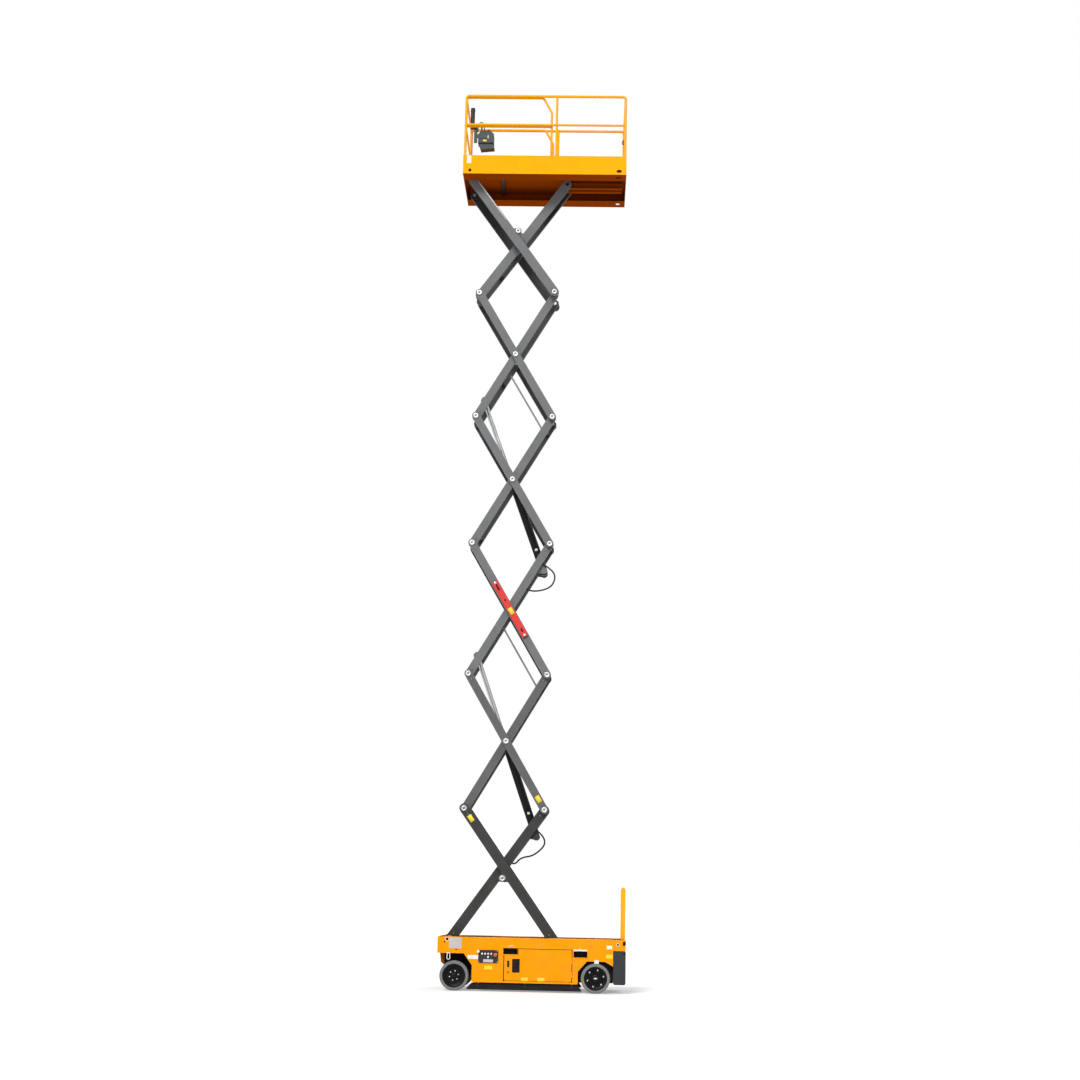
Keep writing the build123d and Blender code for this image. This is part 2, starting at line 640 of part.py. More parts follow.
# ---------------------------------------------------------------- lower control panel in the near side
with BuildPart() as panel:
    with BuildSketch(Plane.XZ.offset(half_width + 8)):
        with Locations((panel_x, panel_z)):
            RectangleRounded(262, 166, 14)
    extrude(amount=-8)
    with BuildSketch(Plane.XZ.offset(half_width)):
        with Locations((panel_x, panel_z)):
            Rectangle(230, 136)
    extrude(amount=-70)
panel.part.label = "lower_controls"
export_step(panel.part, "parts/lower_controls.step")

# ---------------------------------------------------------------- rear step box and entry ladder
box_x = (arch_rear_x1 + 4 + rear_x) / 2
box_len = rear_x - arch_rear_x1 - 4
box_low = 115.0
box_inner_y = 260.0
with BuildPart() as rear_box:
    with BuildSketch(Plane.XZ.offset(half_width - 4)):
        with Locations((box_x, (box_low + tail_low) / 2)):
            RectangleRounded(box_len, tail_low - box_low, 24)
    extrude(amount=-2 * (half_width - 4))
    for off in (half_width - 12, -box_inner_y):
        with BuildSketch(Plane.XZ.offset(off)):
            with Locations((box_x, (box_low + tail_low) / 2)):
                RectangleRounded(box_len - 16, tail_low - box_low - 16, 18)
        extrude(amount=-(half_width - 12 - box_inner_y), mode=Mode.SUBTRACT)
    with BuildSketch(Plane.YZ.offset(rear_x)):
        for z in (215, 430):
            with Locations((0, z)):
                RectangleRounded(400, 110, 20)
    extrude(amount=-130, mode=Mode.SUBTRACT)
rear_box.part.label = "rear_step_box"
export_step(rear_box.part, "parts/rear_step_box.step")

ladder_y = 225.0
ladder_top = 1370.0
with BuildPart() as ladder:
    for side in (-1, 1):
        with BuildSketch(Plane.XZ.offset(-side * ladder_y + 7)):
            with BuildLine():
                Polyline((rear_x - 56, chassis_top), (rear_x - 2, chassis_top), (rear_x - 2, ladder_top - 30),
                         (rear_x - 18, ladder_top), (rear_x - 42, ladder_top), (rear_x - 56, ladder_top - 30),
                         close=True)
            make_face()
        extrude(amount=-14)
    for z in (760, 1000, 1240):
        with BuildSketch(Plane.XZ.offset(ladder_y)):
            with Locations((rear_x - 29, z)):
                RectangleRounded(44, 26, 8)
        extrude(amount=-2 * ladder_y)
ladder.part.label = "entry_ladder"
export_step(ladder.part, "parts/entry_ladder.step")

# ---------------------------------------------------------------- axles and steering knuckles
king_y = half_width - 162
with BuildPart() as front_axle:
    with BuildSketch(Plane.XZ.offset(king_y)):
        with Locations((wheel_front_x, 201)):
            Rectangle(76, 96)
    extrude(amount=-2 * king_y)
    with BuildSketch(Plane.XZ.offset(270)):
        with Locations((wheel_front_x, 250.5)):
            Rectangle(200, 3)
    extrude(amount=-540)
    for side in (-1, 1):
        with BuildSketch(Plane.XY.offset(153)):
            with Locations((wheel_front_x, side * king_y)):
                Circle(27)
        extrude(amount=96)
        with BuildSketch(Plane.XY.offset(153)):
            with Locations((wheel_front_x, side * (king_y + 10))):
                Rectangle(140, 140)
        extrude(amount=96, mode=Mode.SUBTRACT)
        with BuildSketch(Plane.XY.offset(153)):
            with Locations((wheel_front_x, side * (king_y - 53))):
                Rectangle(28, 50)
        extrude(amount=96)
        for z in (141, 249):
            with BuildSketch(Plane.XY.offset(z)):
                with Locations((wheel_front_x, side * king_y)):
                    Circle(30)
                with Locations((wheel_front_x, side * (king_y - 39))):
                    Rectangle(60, 78)
            extrude(amount=12)
        with BuildSketch(Plane.XY.offset(120)):
            with Locations((wheel_front_x, side * king_y)):
                Circle(13)
        extrude(amount=146)
front_axle.part.label = "front_axle"
export_step(front_axle.part, "parts/front_axle.step")

for name, side in (("knuckle_near", -1), ("knuckle_far", 1)):
    with BuildPart() as knuckle:
        with BuildSketch(Plane.XY.offset(158)):
            with Locations((wheel_front_x, side * king_y)):
                Circle(26)
            with Locations((wheel_front_x + 62, side * (king_y + 12))):
                Rectangle(84, 30)
        extrude(amount=86)
        with BuildSketch(Plane(origin=(wheel_front_x, side * king_y, wheel_r), x_dir=(1, 0, 0), z_dir=(0, side, 0))):
            Circle(24)
        extrude(amount=134)
        with BuildSketch(Plane.XY.offset(158)):
            with Locations((wheel_front_x, side * king_y)):
                Circle(14)
        extrude(amount=86, mode=Mode.SUBTRACT)
        with BuildSketch(Plane.XY.offset(170)):
            with Locations((wheel_front_x + 84, side * (king_y - 2))):
                Rectangle(60, 60)
        extrude(amount=80, mode=Mode.SUBTRACT)
    knuckle.part.label = name
    export_step(knuckle.part, "parts/" + name + ".step")

motor_y = 180.0
flange_y = half_width - 190
with BuildPart() as rear_axle:
    for side in (-1, 1):
        # start from the middle plane, length and radius of the motor, its flange and the wheel shaft
        for start, long, radius in ((motor_y, flange_y - motor_y, 85), (flange_y, 58, 62), (flange_y + 58, 104, 24)):
            with BuildSketch(Plane(origin=(wheel_rear_x, side * start, wheel_r), x_dir=(1, 0, 0),
                                   z_dir=(0, side, 0))):
                Circle(radius)
            extrude(amount=long)
    with BuildSketch(Plane.XZ.offset(300)):
        with Locations((wheel_rear_x, 270)):
            Rectangle(150, 328)
    extrude(amount=-600)
rear_axle.part.label = "rear_axle"
export_step(rear_axle.part, "parts/rear_axle.step")

# ---------------------------------------------------------------- wheels
# name, x, side
wheels = [
    ("front_near", wheel_front_x, -1),
    ("front_far", wheel_front_x, 1),
    ("rear_near", wheel_rear_x, -1),
    ("rear_far", wheel_rear_x, 1),
]
rim_r = 153.0
for name, x, side in wheels:
    spin = Axis((x, 0, wheel_r), (0, 1, 0))
    across = Plane(origin=(x, side * (half_width - tyre_w), wheel_r), x_dir=(0, side, 0), z_dir=(1, 0, 0))
    with BuildPart() as tyre:
        with BuildSketch(across):
            with BuildLine():
                Polyline((0, rim_r), (tyre_w, rim_r), (tyre_w, wheel_r - 12), (tyre_w - 12, wheel_r),
                         (12, wheel_r), (0, wheel_r - 12), close=True)
            make_face()
        revolve(axis=spin)
    tyre.part.label = "tyre_" + name
    export_step(tyre.part, "parts/tyre_" + name + ".step")
    with BuildPart() as rim:
        with BuildSketch(across):
            with BuildLine():
                Polyline((8, rim_r), (8, rim_r - 10), (70, rim_r - 10), (70, 60), (58, 60), (58, 24.5),
                         (104, 24.5), (104, 58), (90, 66), (90, 96), (tyre_w - 26, 108), (tyre_w - 12, rim_r - 8),
                         (tyre_w - 12, rim_r), close=True)
            make_face()
        revolve(axis=spin)
    rim.part.label = "rim_" + name
    export_step(rim.part, "parts/rim_" + name + ".step")

# ---------------------------------------------------------------- pothole guards under the sides, hinged along their top
for name, side in (("pothole_guard_near", -1), ("pothole_guard_far", 1)):
    with BuildPart() as guard:
        with BuildSketch(Plane.XZ.offset(-side * guard_y + 4)):
            with BuildLine():
                Polyline((sill_front_x - 8, guard_hinge_z), (arch_rear_x0 + 4, guard_hinge_z),
                         (arch_rear_x0 + 48, 38), (arch_rear_x0 + 48, 20), (sill_front_x - 62, 20),
                         (sill_front_x - 62, 38), close=True)
            make_face()
        extrude(amount=-8)
        with BuildSketch(Plane.XZ.offset(-side * guard_y + 12)):
            for x in guard_lugs:
                with Locations((x, guard_hinge_z)):
                    Rectangle(26, 50)
        extrude(amount=-24, mode=Mode.SUBTRACT)
        with BuildSketch(Plane.YZ.offset(sill_front_x)):
            with Locations((side * guard_y, guard_hinge_z)):
                Circle(7)
        extrude(amount=arch_rear_x0 - 4 - sill_front_x)
    guard.part.label = name
    export_step(guard.part, "parts/" + name + ".step")

# ---------------------------------------------------------------- platform
platform_x0 = front_x + 10
platform_x1 = arch_rear_x1 + 58
platform_mid = (platform_x0 + platform_x1) / 2
platform_len = platform_x1 - platform_x0
toe_z = top_z - platform_drop
deck_z = toe_z + deck_rise
toe_top = toe_z + toe_high
rail_top = toe_z + rail_high
mid_rail = rail_top - 466.0
sheet = 5.0
flange_w = half_width - bracket_y - bracket_w - 9
top_track_in = top_roller_y - 11
top_track_out = top_roller_y + top_roller_w + 3
with BuildPart() as deck:
    for off in (half_width, -half_width + sheet):
        with BuildSketch(Plane.XZ.offset(off)):
            with Locations((platform_mid, (toe_z + toe_top) / 2)):
                Rectangle(platform_len, toe_high)
            with Locations((platform_x0 + 102, toe_z + 53)):
                Circle(14, mode=Mode.SUBTRACT)
            with Locations((platform_x1 - 105, toe_z + 53)):
                SlotOverall(60, 28, mode=Mode.SUBTRACT)
        extrude(amount=-sheet)
    for side in (-1, 1):
        with BuildSketch(Plane.XY.offset(toe_z)):
            with Locations((platform_mid, side * (half_width - flange_w / 2))):
                Rectangle(platform_len, flange_w)
            with Locations((platform_x1 - 110, side * (half_width - flange_w / 2))):
                SlotOverall(90, 60, mode=Mode.SUBTRACT)
        extrude(amount=sheet)
        with BuildSketch(Plane.XY.offset(toe_top - sheet)):
            with Locations((platform_mid, side * (half_width - 15))):
                Rectangle(platform_len, 30)
        extrude(amount=sheet)
    with BuildSketch(Plane.XY.offset(deck_z - sheet)):
        with Locations((platform_mid, 0)):
            Rectangle(platform_len, 2 * half_width)
    extrude(amount=sheet)
    for x in (platform_x0, platform_x1 - sheet):
        with BuildSketch(Plane.YZ.offset(x)):
            with Locations((0, (toe_z + deck_z) / 2)):
                Rectangle(2 * half_width, deck_z - toe_z)
        extrude(amount=sheet)
    # fixed pin brackets and the tracks of the top rollers under the deck
    for side in (-1, 1):
        with BuildSketch(Plane(origin=(0, side * bracket_y, 0), x_dir=(1, 0, 0), z_dir=(0, side, 0))):
            with BuildLine():
                Polyline((base_x - 95, side * -(deck_z - sheet)), (base_x + 110, side * -(deck_z - sheet)),
                         (base_x + 42, side * -top_z), (base_x - 42, side * -top_z), close=True)
            make_face()
            with Locations((base_x, side * -top_z)):
                Circle(42)
        extrude(amount=bracket_w)
        with BuildSketch(Plane(origin=(base_x, side * bracket_y, top_z), x_dir=(1, 0, 0), z_dir=(0, side, 0))):
            Circle(pin_r + running)
        extrude(amount=bracket_w, mode=Mode.SUBTRACT)
        with BuildSketch(Plane.YZ.offset(track_x0)):
            for z in (top_z + roller_r + 4, top_z - roller_r - 4):
                with Locations((side * (top_track_in + top_track_out) / 2, z)):
                    Rectangle(top_track_out - top_track_in, 6)
            with Locations((side * (top_track_in + 2.5), (top_z - roller_r - 7 + deck_z) / 2)):
                Rectangle(5, deck_z - top_z + roller_r + 7)
        extrude(amount=track_x1 - track_x0)
deck.part.label = "platform_deck"
export_step(deck.part, "parts/platform_deck.step")

main_x0 = platform_x0 + 23
main_x1 = platform_x1 - 22
main_y = half_width - rail_r
rail_z = rail_top - rail_r
gate_y = 225.0
gate_top = rail_z - 50
jamb_y = gate_y + 37
mid_post_x = platform_x0 + 1345
with BuildPart() as rails:
    for side in (-1, 1):
        # front post, top rail and rear post are one bent tube
        with BuildLine() as path:
            FilletPolyline((main_x0, side * main_y, toe_top), (main_x0, side * main_y, rail_z),
                           (main_x1, side * main_y, rail_z), (main_x1, side * main_y, toe_top), radius=42)
        with BuildSketch(Plane(origin=(main_x0, side * main_y, toe_top), x_dir=(1, 0, 0), z_dir=(0, 0, 1))):
            Circle(rail_r)
        sweep(path=path.line)
        with BuildSketch(Plane(origin=(main_x0, side * main_y, mid_rail), x_dir=(0, 1, 0), z_dir=(1, 0, 0))):
            Circle(rail_r - 3)
        extrude(amount=main_x1 - main_x0)
        with BuildSketch(Plane(origin=(mid_post_x, side * main_y, toe_top), x_dir=(1, 0, 0), z_dir=(0, 0, 1))):
            Circle(rail_r - 2)
        extrude(amount=rail_z - toe_top)
        for z in (gate_top, mid_rail):
            with BuildSketch(Plane(origin=(main_x1, side * jamb_y, z), x_dir=(1, 0, 0), z_dir=(0, side, 0))):
                Circle(rail_r - 3)
            extrude(amount=main_y - jamb_y)
        with BuildSketch(Plane(origin=(main_x1, side * jamb_y, deck_z), x_dir=(1, 0, 0), z_dir=(0, 0, 1))):
            Circle(rail_r - 2)
        extrude(amount=gate_top + rail_r - 3 - deck_z)
    # hinge eyes of the entry gate
    for z in (deck_z + 190, mid_rail - 90):
        with BuildSketch(Plane.XY.offset(z)):
            with Locations((main_x1, -gate_y - 19)):
                Rectangle(16, 36)
            with Locations((main_x1, -gate_y)):
                Circle(18)
                Circle(10.5, mode=Mode.SUBTRACT)
        extrude(amount=14)
rails.part.label = "main_rails"
export_step(rails.part, "parts/main_rails.step")

with BuildPart() as gate:
    for z in (gate_top, mid_rail):
        with BuildSketch(Plane(origin=(main_x1, -gate_y, z), x_dir=(1, 0, 0), z_dir=(0, 1, 0))):
            Circle(rail_r - 4)
        extrude(amount=2 * gate_y)
    for y in (-gate_y, gate_y):
        with BuildSketch(Plane(origin=(main_x1, y, mid_rail), x_dir=(1, 0, 0), z_dir=(0, 0, 1))):
            Circle(rail_r - 4)
        extrude(amount=gate_top - mid_rail)
    with BuildSketch(Plane.YZ.offset(main_x1 - 3)):
        with Locations((0, deck_z + 75)):
            Rectangle(2 * gate_y, 130)
    extrude(amount=6)
    with BuildSketch(Plane(origin=(main_x1, -gate_y, deck_z + 20), x_dir=(1, 0, 0), z_dir=(0, 0, 1))):
        Circle(10)
    extrude(amount=mid_rail - deck_z)
gate.part.label = "entry_gate"
export_step(gate.part, "parts/entry_gate.step")

ext_x1 = platform_x0 + 1282
ext_z = deck_z + 8.0
ext_y = half_width - 60
ext_top = rail_top - 13
ext_rail_r = 16.0
ext_front = platform_x0 + ext_rail_r
ext_back = ext_x1 - 12
ext_drop = 227.0         # height of the slanted stretch at the extension rails' rear
with BuildPart() as ext_deck:
    with BuildSketch(Plane.XY.offset(ext_z)):
        with Locations(((platform_x0 + ext_x1) / 2, 0)):
            Rectangle(ext_x1 - platform_x0, 2 * ext_y)
    extrude(amount=4)
    for off in (ext_y + 4, -ext_y):
        with BuildSketch(Plane.XZ.offset(off)):
            with Locations(((platform_x0 + ext_x1) / 2, ext_z + 50)):
                Rectangle(ext_x1 - platform_x0, 100)
        extrude(amount=-4)
    with BuildSketch(Plane.YZ.offset(platform_x0 - 6)):
        with Locations((0, ext_z + 50)):
            Rectangle(2 * ext_y + 8, 100)
    extrude(amount=6)
    # wear strips the deck slides on
    with BuildSketch(Plane.XY.offset(deck_z + 0.5)):
        with Locations(((platform_x0 + ext_x1) / 2, ext_y - 40), ((platform_x0 + ext_x1) / 2, 40 - ext_y)):
            Rectangle(ext_x1 - platform_x0, 36)
    extrude(amount=ext_z - deck_z - 0.5)
ext_deck.part.label = "extension_deck"
export_step(ext_deck.part, "parts/extension_deck.step")

ext_rail_z = ext_top - ext_rail_r
ext_mid_z = mid_rail - 14
with BuildPart() as ext_rails:
    for side in (-1, 1):
        y = side * ext_y
        with BuildLine() as path:
            FilletPolyline((ext_front, 0, ext_rail_z), (ext_front, y, ext_rail_z), (ext_back - 122, y, ext_rail_z),
                           (ext_back, y, ext_rail_z - ext_drop), (ext_back, y, ext_z + 100), radius=60)
        with BuildSketch(Plane(origin=(ext_front, 0, ext_rail_z), x_dir=(1, 0, 0), z_dir=(0, side, 0))):
            Circle(ext_rail_r)
        sweep(path=path.line)
        with BuildSketch(Plane(origin=(ext_front, y, ext_z + 100), x_dir=(1, 0, 0), z_dir=(0, 0, 1))):
            Circle(ext_rail_r - 1)
        extrude(amount=ext_rail_z - ext_z - 100)
        with BuildSketch(Plane(origin=(ext_front, y, ext_mid_z), x_dir=(0, 1, 0), z_dir=(1, 0, 0))):
            Circle(ext_rail_r - 2)
        extrude(amount=ext_back - ext_front)
    with BuildSketch(Plane(origin=(ext_front, -ext_y, ext_mid_z), x_dir=(1, 0, 0), z_dir=(0, 1, 0))):
        Circle(ext_rail_r - 2)
    extrude(amount=2 * ext_y)
ext_rails.part.label = "extension_rails"
export_step(ext_rails.part, "parts/extension_rails.step")

# ---------------------------------------------------------------- platform controls and document holder, on the near rail
hang_y = ext_y - ext_rail_r + 2      # inner side of the extension's mid rail
control_x = platform_x0 + 315
control_top = mid_rail - 62
housing_w = 230.0
housing_high = 190.0
housing_cut = 55.0
with BuildPart() as control_box:
    with BuildSketch(Plane.XZ.offset(hang_y)):
        with Locations((control_x - 150, mid_rail - 130)):
            Rectangle(50, 268)
        with Locations((control_x - 70, control_top - housing_high / 2)):
            Rectangle(180, 60)
    extrude(amount=-6)
    with BuildSketch(Plane.XZ.offset(hang_y - 6)):
        with BuildLine():
            Polyline((control_x - housing_w / 2, control_top - housing_cut),
                     (control_x - housing_w / 2 + housing_cut, control_top),
                     (control_x + housing_w / 2 - housing_cut, control_top),
                     (control_x + housing_w / 2, control_top - housing_cut),
                     (control_x + housing_w / 2, control_top - housing_high),
                     (control_x - housing_w / 2, control_top - housing_high), close=True)
        make_face()
    extrude(amount=-150)
    with BuildSketch(Plane.XZ.offset(hang_y - 26)):
        with BuildLine():
            Polyline((control_x - housing_w / 2 + 10, control_top - housing_high),
                     (control_x + housing_w / 2 - 10, control_top - housing_high),
                     (control_x + housing_w / 2 + 12, control_top - housing_high - 80),
                     (control_x - housing_w / 2 + 45, control_top - housing_high - 100), close=True)
        make_face()
    extrude(amount=-110)
control_box.part.label = "control_box"
export_step(control_box.part, "parts/control_box.step")

holder_r = 31.0
with BuildPart() as holder:
    tube_top = Plane(origin=(platform_x0 + 113, holder_r - hang_y, mid_rail + 270), x_dir=(1, 0, 0), z_dir=(0, 0, 1))
    with BuildSketch(tube_top):
        Circle(holder_r)
    extrude(amount=-300)
    with BuildSketch(tube_top):
        Circle(holder_r - 3)
    extrude(amount=-290, mode=Mode.SUBTRACT)
holder.part.label = "document_holder"
export_step(holder.part, "parts/document_holder.step")
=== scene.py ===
import bpy
import bmesh
import math
from mathutils import Matrix, Vector

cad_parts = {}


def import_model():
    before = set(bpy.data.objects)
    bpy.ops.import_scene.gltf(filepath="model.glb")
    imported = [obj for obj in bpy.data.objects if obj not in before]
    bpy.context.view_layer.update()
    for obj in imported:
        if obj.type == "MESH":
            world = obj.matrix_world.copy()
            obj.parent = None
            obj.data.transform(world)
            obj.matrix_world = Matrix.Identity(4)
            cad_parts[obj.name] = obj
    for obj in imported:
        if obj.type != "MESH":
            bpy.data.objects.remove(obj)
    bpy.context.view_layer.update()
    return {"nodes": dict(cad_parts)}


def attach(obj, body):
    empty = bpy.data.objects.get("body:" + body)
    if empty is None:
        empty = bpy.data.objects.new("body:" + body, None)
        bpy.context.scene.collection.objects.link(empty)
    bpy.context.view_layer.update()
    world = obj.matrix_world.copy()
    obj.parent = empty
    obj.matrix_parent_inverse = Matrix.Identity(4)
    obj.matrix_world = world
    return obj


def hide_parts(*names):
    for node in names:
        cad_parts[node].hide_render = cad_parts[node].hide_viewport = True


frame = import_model()
NODES = frame["nodes"]


def put(name, data):
    """A new object in the scene."""
    obj = bpy.data.objects.new(name, data)
    bpy.context.scene.collection.objects.link(obj)
    return obj


# ---------------- camera
def aim(yaw, pitch, roll, place):
    """The camera's matrix: it looks along +Y turned by yaw, tilted up by pitch and rolled, from a place."""
    right = Vector((math.cos(yaw), math.sin(yaw), 0))
    ahead = Vector((-math.sin(yaw) * math.cos(pitch), math.cos(yaw) * math.cos(pitch), math.sin(pitch)))
    up = Vector((math.sin(yaw) * math.sin(pitch), -math.cos(yaw) * math.sin(pitch), math.cos(pitch)))
    level = right * math.cos(roll) + up * math.sin(roll)
    upright = up * math.cos(roll) - right * math.sin(roll)
    turn = Matrix((level, upright, -ahead)).transposed()
    return Matrix.Translation(place) @ turn.to_4x4()


cam = bpy.data.cameras.new("camera")
cam.sensor_width = 36.0
cam.lens = 57.54
cam.clip_end = 500
cam_obj = put("camera", cam)
cam_obj.matrix_world = aim(yaw=0.02872, pitch=0.20390, roll=0.02122, place=(0.6683, -23.9173, 1.2239))
bpy.context.scene.camera = cam_obj
bpy.context.scene.view_settings.view_transform = "Standard"


# ---------------- linkage, as in the part's source, in metres
half_arm = 1.069      # centre pin to end pin along a long arm
pivot_drop = 0.095    # how far the end arms' centre pins stand off their middle lines
lift = math.radians(59.5)
bend = math.asin(pivot_drop / half_arm)
end_slope = lift - bend
end_length = 2 * half_arm * math.cos(bend)
rise = 2 * half_arm * math.sin(lift)
base_x, base_z = -1.115, 0.650    # foot pin of the lowest inner arm
mid_x = base_x + half_arm * math.cos(end_slope - bend)
left_x = mid_x - half_arm * math.cos(lift)
right_x = mid_x + half_arm * math.cos(lift)
slide_x = 2 * mid_x - base_x
level = [base_z, base_z + end_length * math.sin(end_slope)]
for n in range(4):
    level.append(level[-1] + rise)
top_z = level[5] + end_length * math.sin(end_slope)
centre_z = [base_z + half_arm * math.sin(end_slope - bend)]
for n in range(4):
    centre_z.append(level[n + 1] + rise / 2)
centre_z.append(top_z - half_arm * math.sin(end_slope - bend))
tube_w = 0.050
half_deep_end, half_deep = 0.063, 0.054    # half the depth of an end arm's tube and of the others'
plane_y = {"inner_end": 0.127, "inner": 0.187, "outer": 0.247, "outer_end": 0.315}
side_y = 0.600                # outer face of the chassis and of the toe board
panel_y = side_y + 0.008      # face of the lower control panel
door_y = side_y + 0.002       # face of a service door


def arm_face(where):
    """|y| of the outer face of the arms in a plane."""
    return plane_y[where] + tube_w / 2


def arm_point(low_x, low_z, angle, along, up):
    """World x and z of a point given along an arm from its low end and up from its middle line."""
    return (low_x + along * math.cos(angle) - up * math.sin(angle),
            low_z + along * math.sin(angle) + up * math.cos(angle))


# ---------------- hose loops
hose_diameter = 0.022


def hose(name, node_name, body, low_x, low_z, angle, length, under, where, loop):
    """A hydraulic hose that hangs between two points under an arm, which is under deep from its middle line.

    The loop's points are (distance back from the arm's upper end, distance below its middle line).
    """
    route = [(loop[0][0], under)] + list(loop) + [(loop[-1][0], under)]
    curve = bpy.data.curves.new(name, "CURVE")
    curve.dimensions = "3D"
    curve.bevel_depth = hose_diameter / 2
    curve.bevel_resolution = 4
    line = curve.splines.new("NURBS")
    line.points.add(len(route) - 1)
    for point, (back, down) in zip(line.points, route):
        x, z = arm_point(low_x, low_z, angle, length - back, -down)
        point.co = (x, -plane_y[where], z, 1.0)
    line.order_u = 3
    line.use_endpoint_u = True
    line.resolution_u = 16
    obj = put(name, curve)
    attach(obj, body)
    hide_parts(node_name)
    return obj


hoses = [
    hose("lower_hose", "hose_loop_1", "inner_1", base_x, level[0], end_slope, end_length, half_deep_end,
         "inner_end", ((0.280, 0.290), (0.560, 0.262), (0.700, 0.120), (0.830, 0.112))),
    hose("middle_hose", "hose_loop_3", "inner_3", left_x, level[2], lift, 2 * half_arm, half_deep,
         "inner", ((0.285, 0.230), (0.370, 0.325), (0.530, 0.330), (0.705, 0.140))),
]


# ---------------- materials
def empty_tree(owner):
    """The empty node tree of a material or world."""
    owner.use_nodes = True
    owner.node_tree.nodes.clear()
    return owner.node_tree


def add(nt, kind, **values):
    """A shader node with its inputs set; an underscore stands for the space in an input's name."""
    n = nt.nodes.new(kind)
    for key, value in values.items():
        n.inputs[key.replace("_", " ")].default_value = value
    return n


def math_node(nt, operation, a, b=None, clamp=False):
    """A sum, product or test of numbers or sockets."""
    n = nt.nodes.new("ShaderNodeMath")
    n.operation = operation
    n.use_clamp = clamp
    for i, v in enumerate((a, b)):
        if v is None:
            continue
        if isinstance(v, (int, float)):
            n.inputs[i].default_value = v
        else:
            nt.links.new(v, n.inputs[i])
    return n.outputs[0]


def span(nt, value, low, high, to_low=0.0, to_high=1.0):
    """Value from low..high taken to to_low..to_high, held at the ends."""
    n = nt.nodes.new("ShaderNodeMapRange")
    n.inputs["From Min"].default_value = low
    n.inputs["From Max"].default_value = high
    n.inputs["To Min"].default_value = to_low
    n.inputs["To Max"].default_value = to_high
    nt.links.new(value, n.inputs["Value"])
    return n.outputs["Result"]


def blend_colour(nt, fac, a, b):
    """Colour a where fac is 0, b where it is 1."""
    n = nt.nodes.new("ShaderNodeMixRGB")
    for socket, v in (("Fac", fac), ("Color1", a), ("Color2", b)):
        if isinstance(v, tuple):
            n.inputs[socket].default_value = (*v, 1)
        else:
            nt.links.new(v, n.inputs[socket])
    return n.outputs["Color"]


def noise(nt, vector, **values):
    n = add(nt, "ShaderNodeTexNoise", **values)
    nt.links.new(vector, n.inputs["Vector"])
    return n.outputs["Fac"]


def relief(nt, height, bsdf, strength, distance):
    """Fine bumps on a surface."""
    n = add(nt, "ShaderNodeBump", Strength=strength, Distance=distance)
    nt.links.new(height, n.inputs["Height"])
    nt.links.new(n.outputs["Normal"], bsdf.inputs["Normal"])


def worn_and_highlit_edges(nt, shade, colour, wear_and_highlight, width):
    """The shade, paler along sharp edges, partly as worn paint and partly as painted highlight."""
    edge = add(nt, "ShaderNodeBevel", Radius=width)
    edge.samples = 4
    geo = nt.nodes.new("ShaderNodeNewGeometry")
    dot = nt.nodes.new("ShaderNodeVectorMath")
    dot.operation = "DOT_PRODUCT"
    nt.links.new(edge.outputs[0], dot.inputs[0])
    nt.links.new(geo.outputs["Normal"], dot.inputs[1])
    mask = span(nt, dot.outputs["Value"], 0.99, 0.86, 0.0, wear_and_highlight)
    return blend_colour(nt, mask, shade, tuple(min(1.0, c * 1.5 + 0.12) for c in colour))


def shaded_faces(nt, co, shade, inner, under, hollow):
    """The shade, with painted shade on inner faces, under faces and inside a hollow body: see surface()."""
    normal = nt.nodes.new("ShaderNodeSeparateXYZ")
    nt.links.new(co.outputs["Normal"], normal.inputs[0])
    place = nt.nodes.new("ShaderNodeSeparateXYZ")
    nt.links.new(co.outputs["Object"], place.inputs[0])
    # painted shade: faces turned to the middle plane take the darker inner colour
    if inner:
        side = math_node(nt, "SIGN", place.outputs["Y"])
        outward = math_node(nt, "MULTIPLY", side, normal.outputs["Y"])
        shade = blend_colour(nt, span(nt, outward, -0.2, 0.75), inner, shade)
    # painted shade: faces that look down take the darker under colour
    if under:
        shade = blend_colour(nt, span(nt, normal.outputs["Z"], -0.75, -0.25), under, shade)
    # painted shade: the inside of a hollow body takes the dark colour
    if hollow:
        dark, (x0, x1, half, z0, z1) = hollow
        inside = math_node(nt, "LESS_THAN", math_node(nt, "ABSOLUTE", place.outputs["Y"]), half)
        for axis, low, high in (("X", x0, x1), ("Z", z0, z1)):
            above = math_node(nt, "GREATER_THAN", place.outputs[axis], low)
            below = math_node(nt, "LESS_THAN", place.outputs[axis], high)
            inside = math_node(nt, "MULTIPLY", math_node(nt, "MULTIPLY", inside, above), below)
        shade = blend_colour(nt, inside, shade, dark)
    return shade


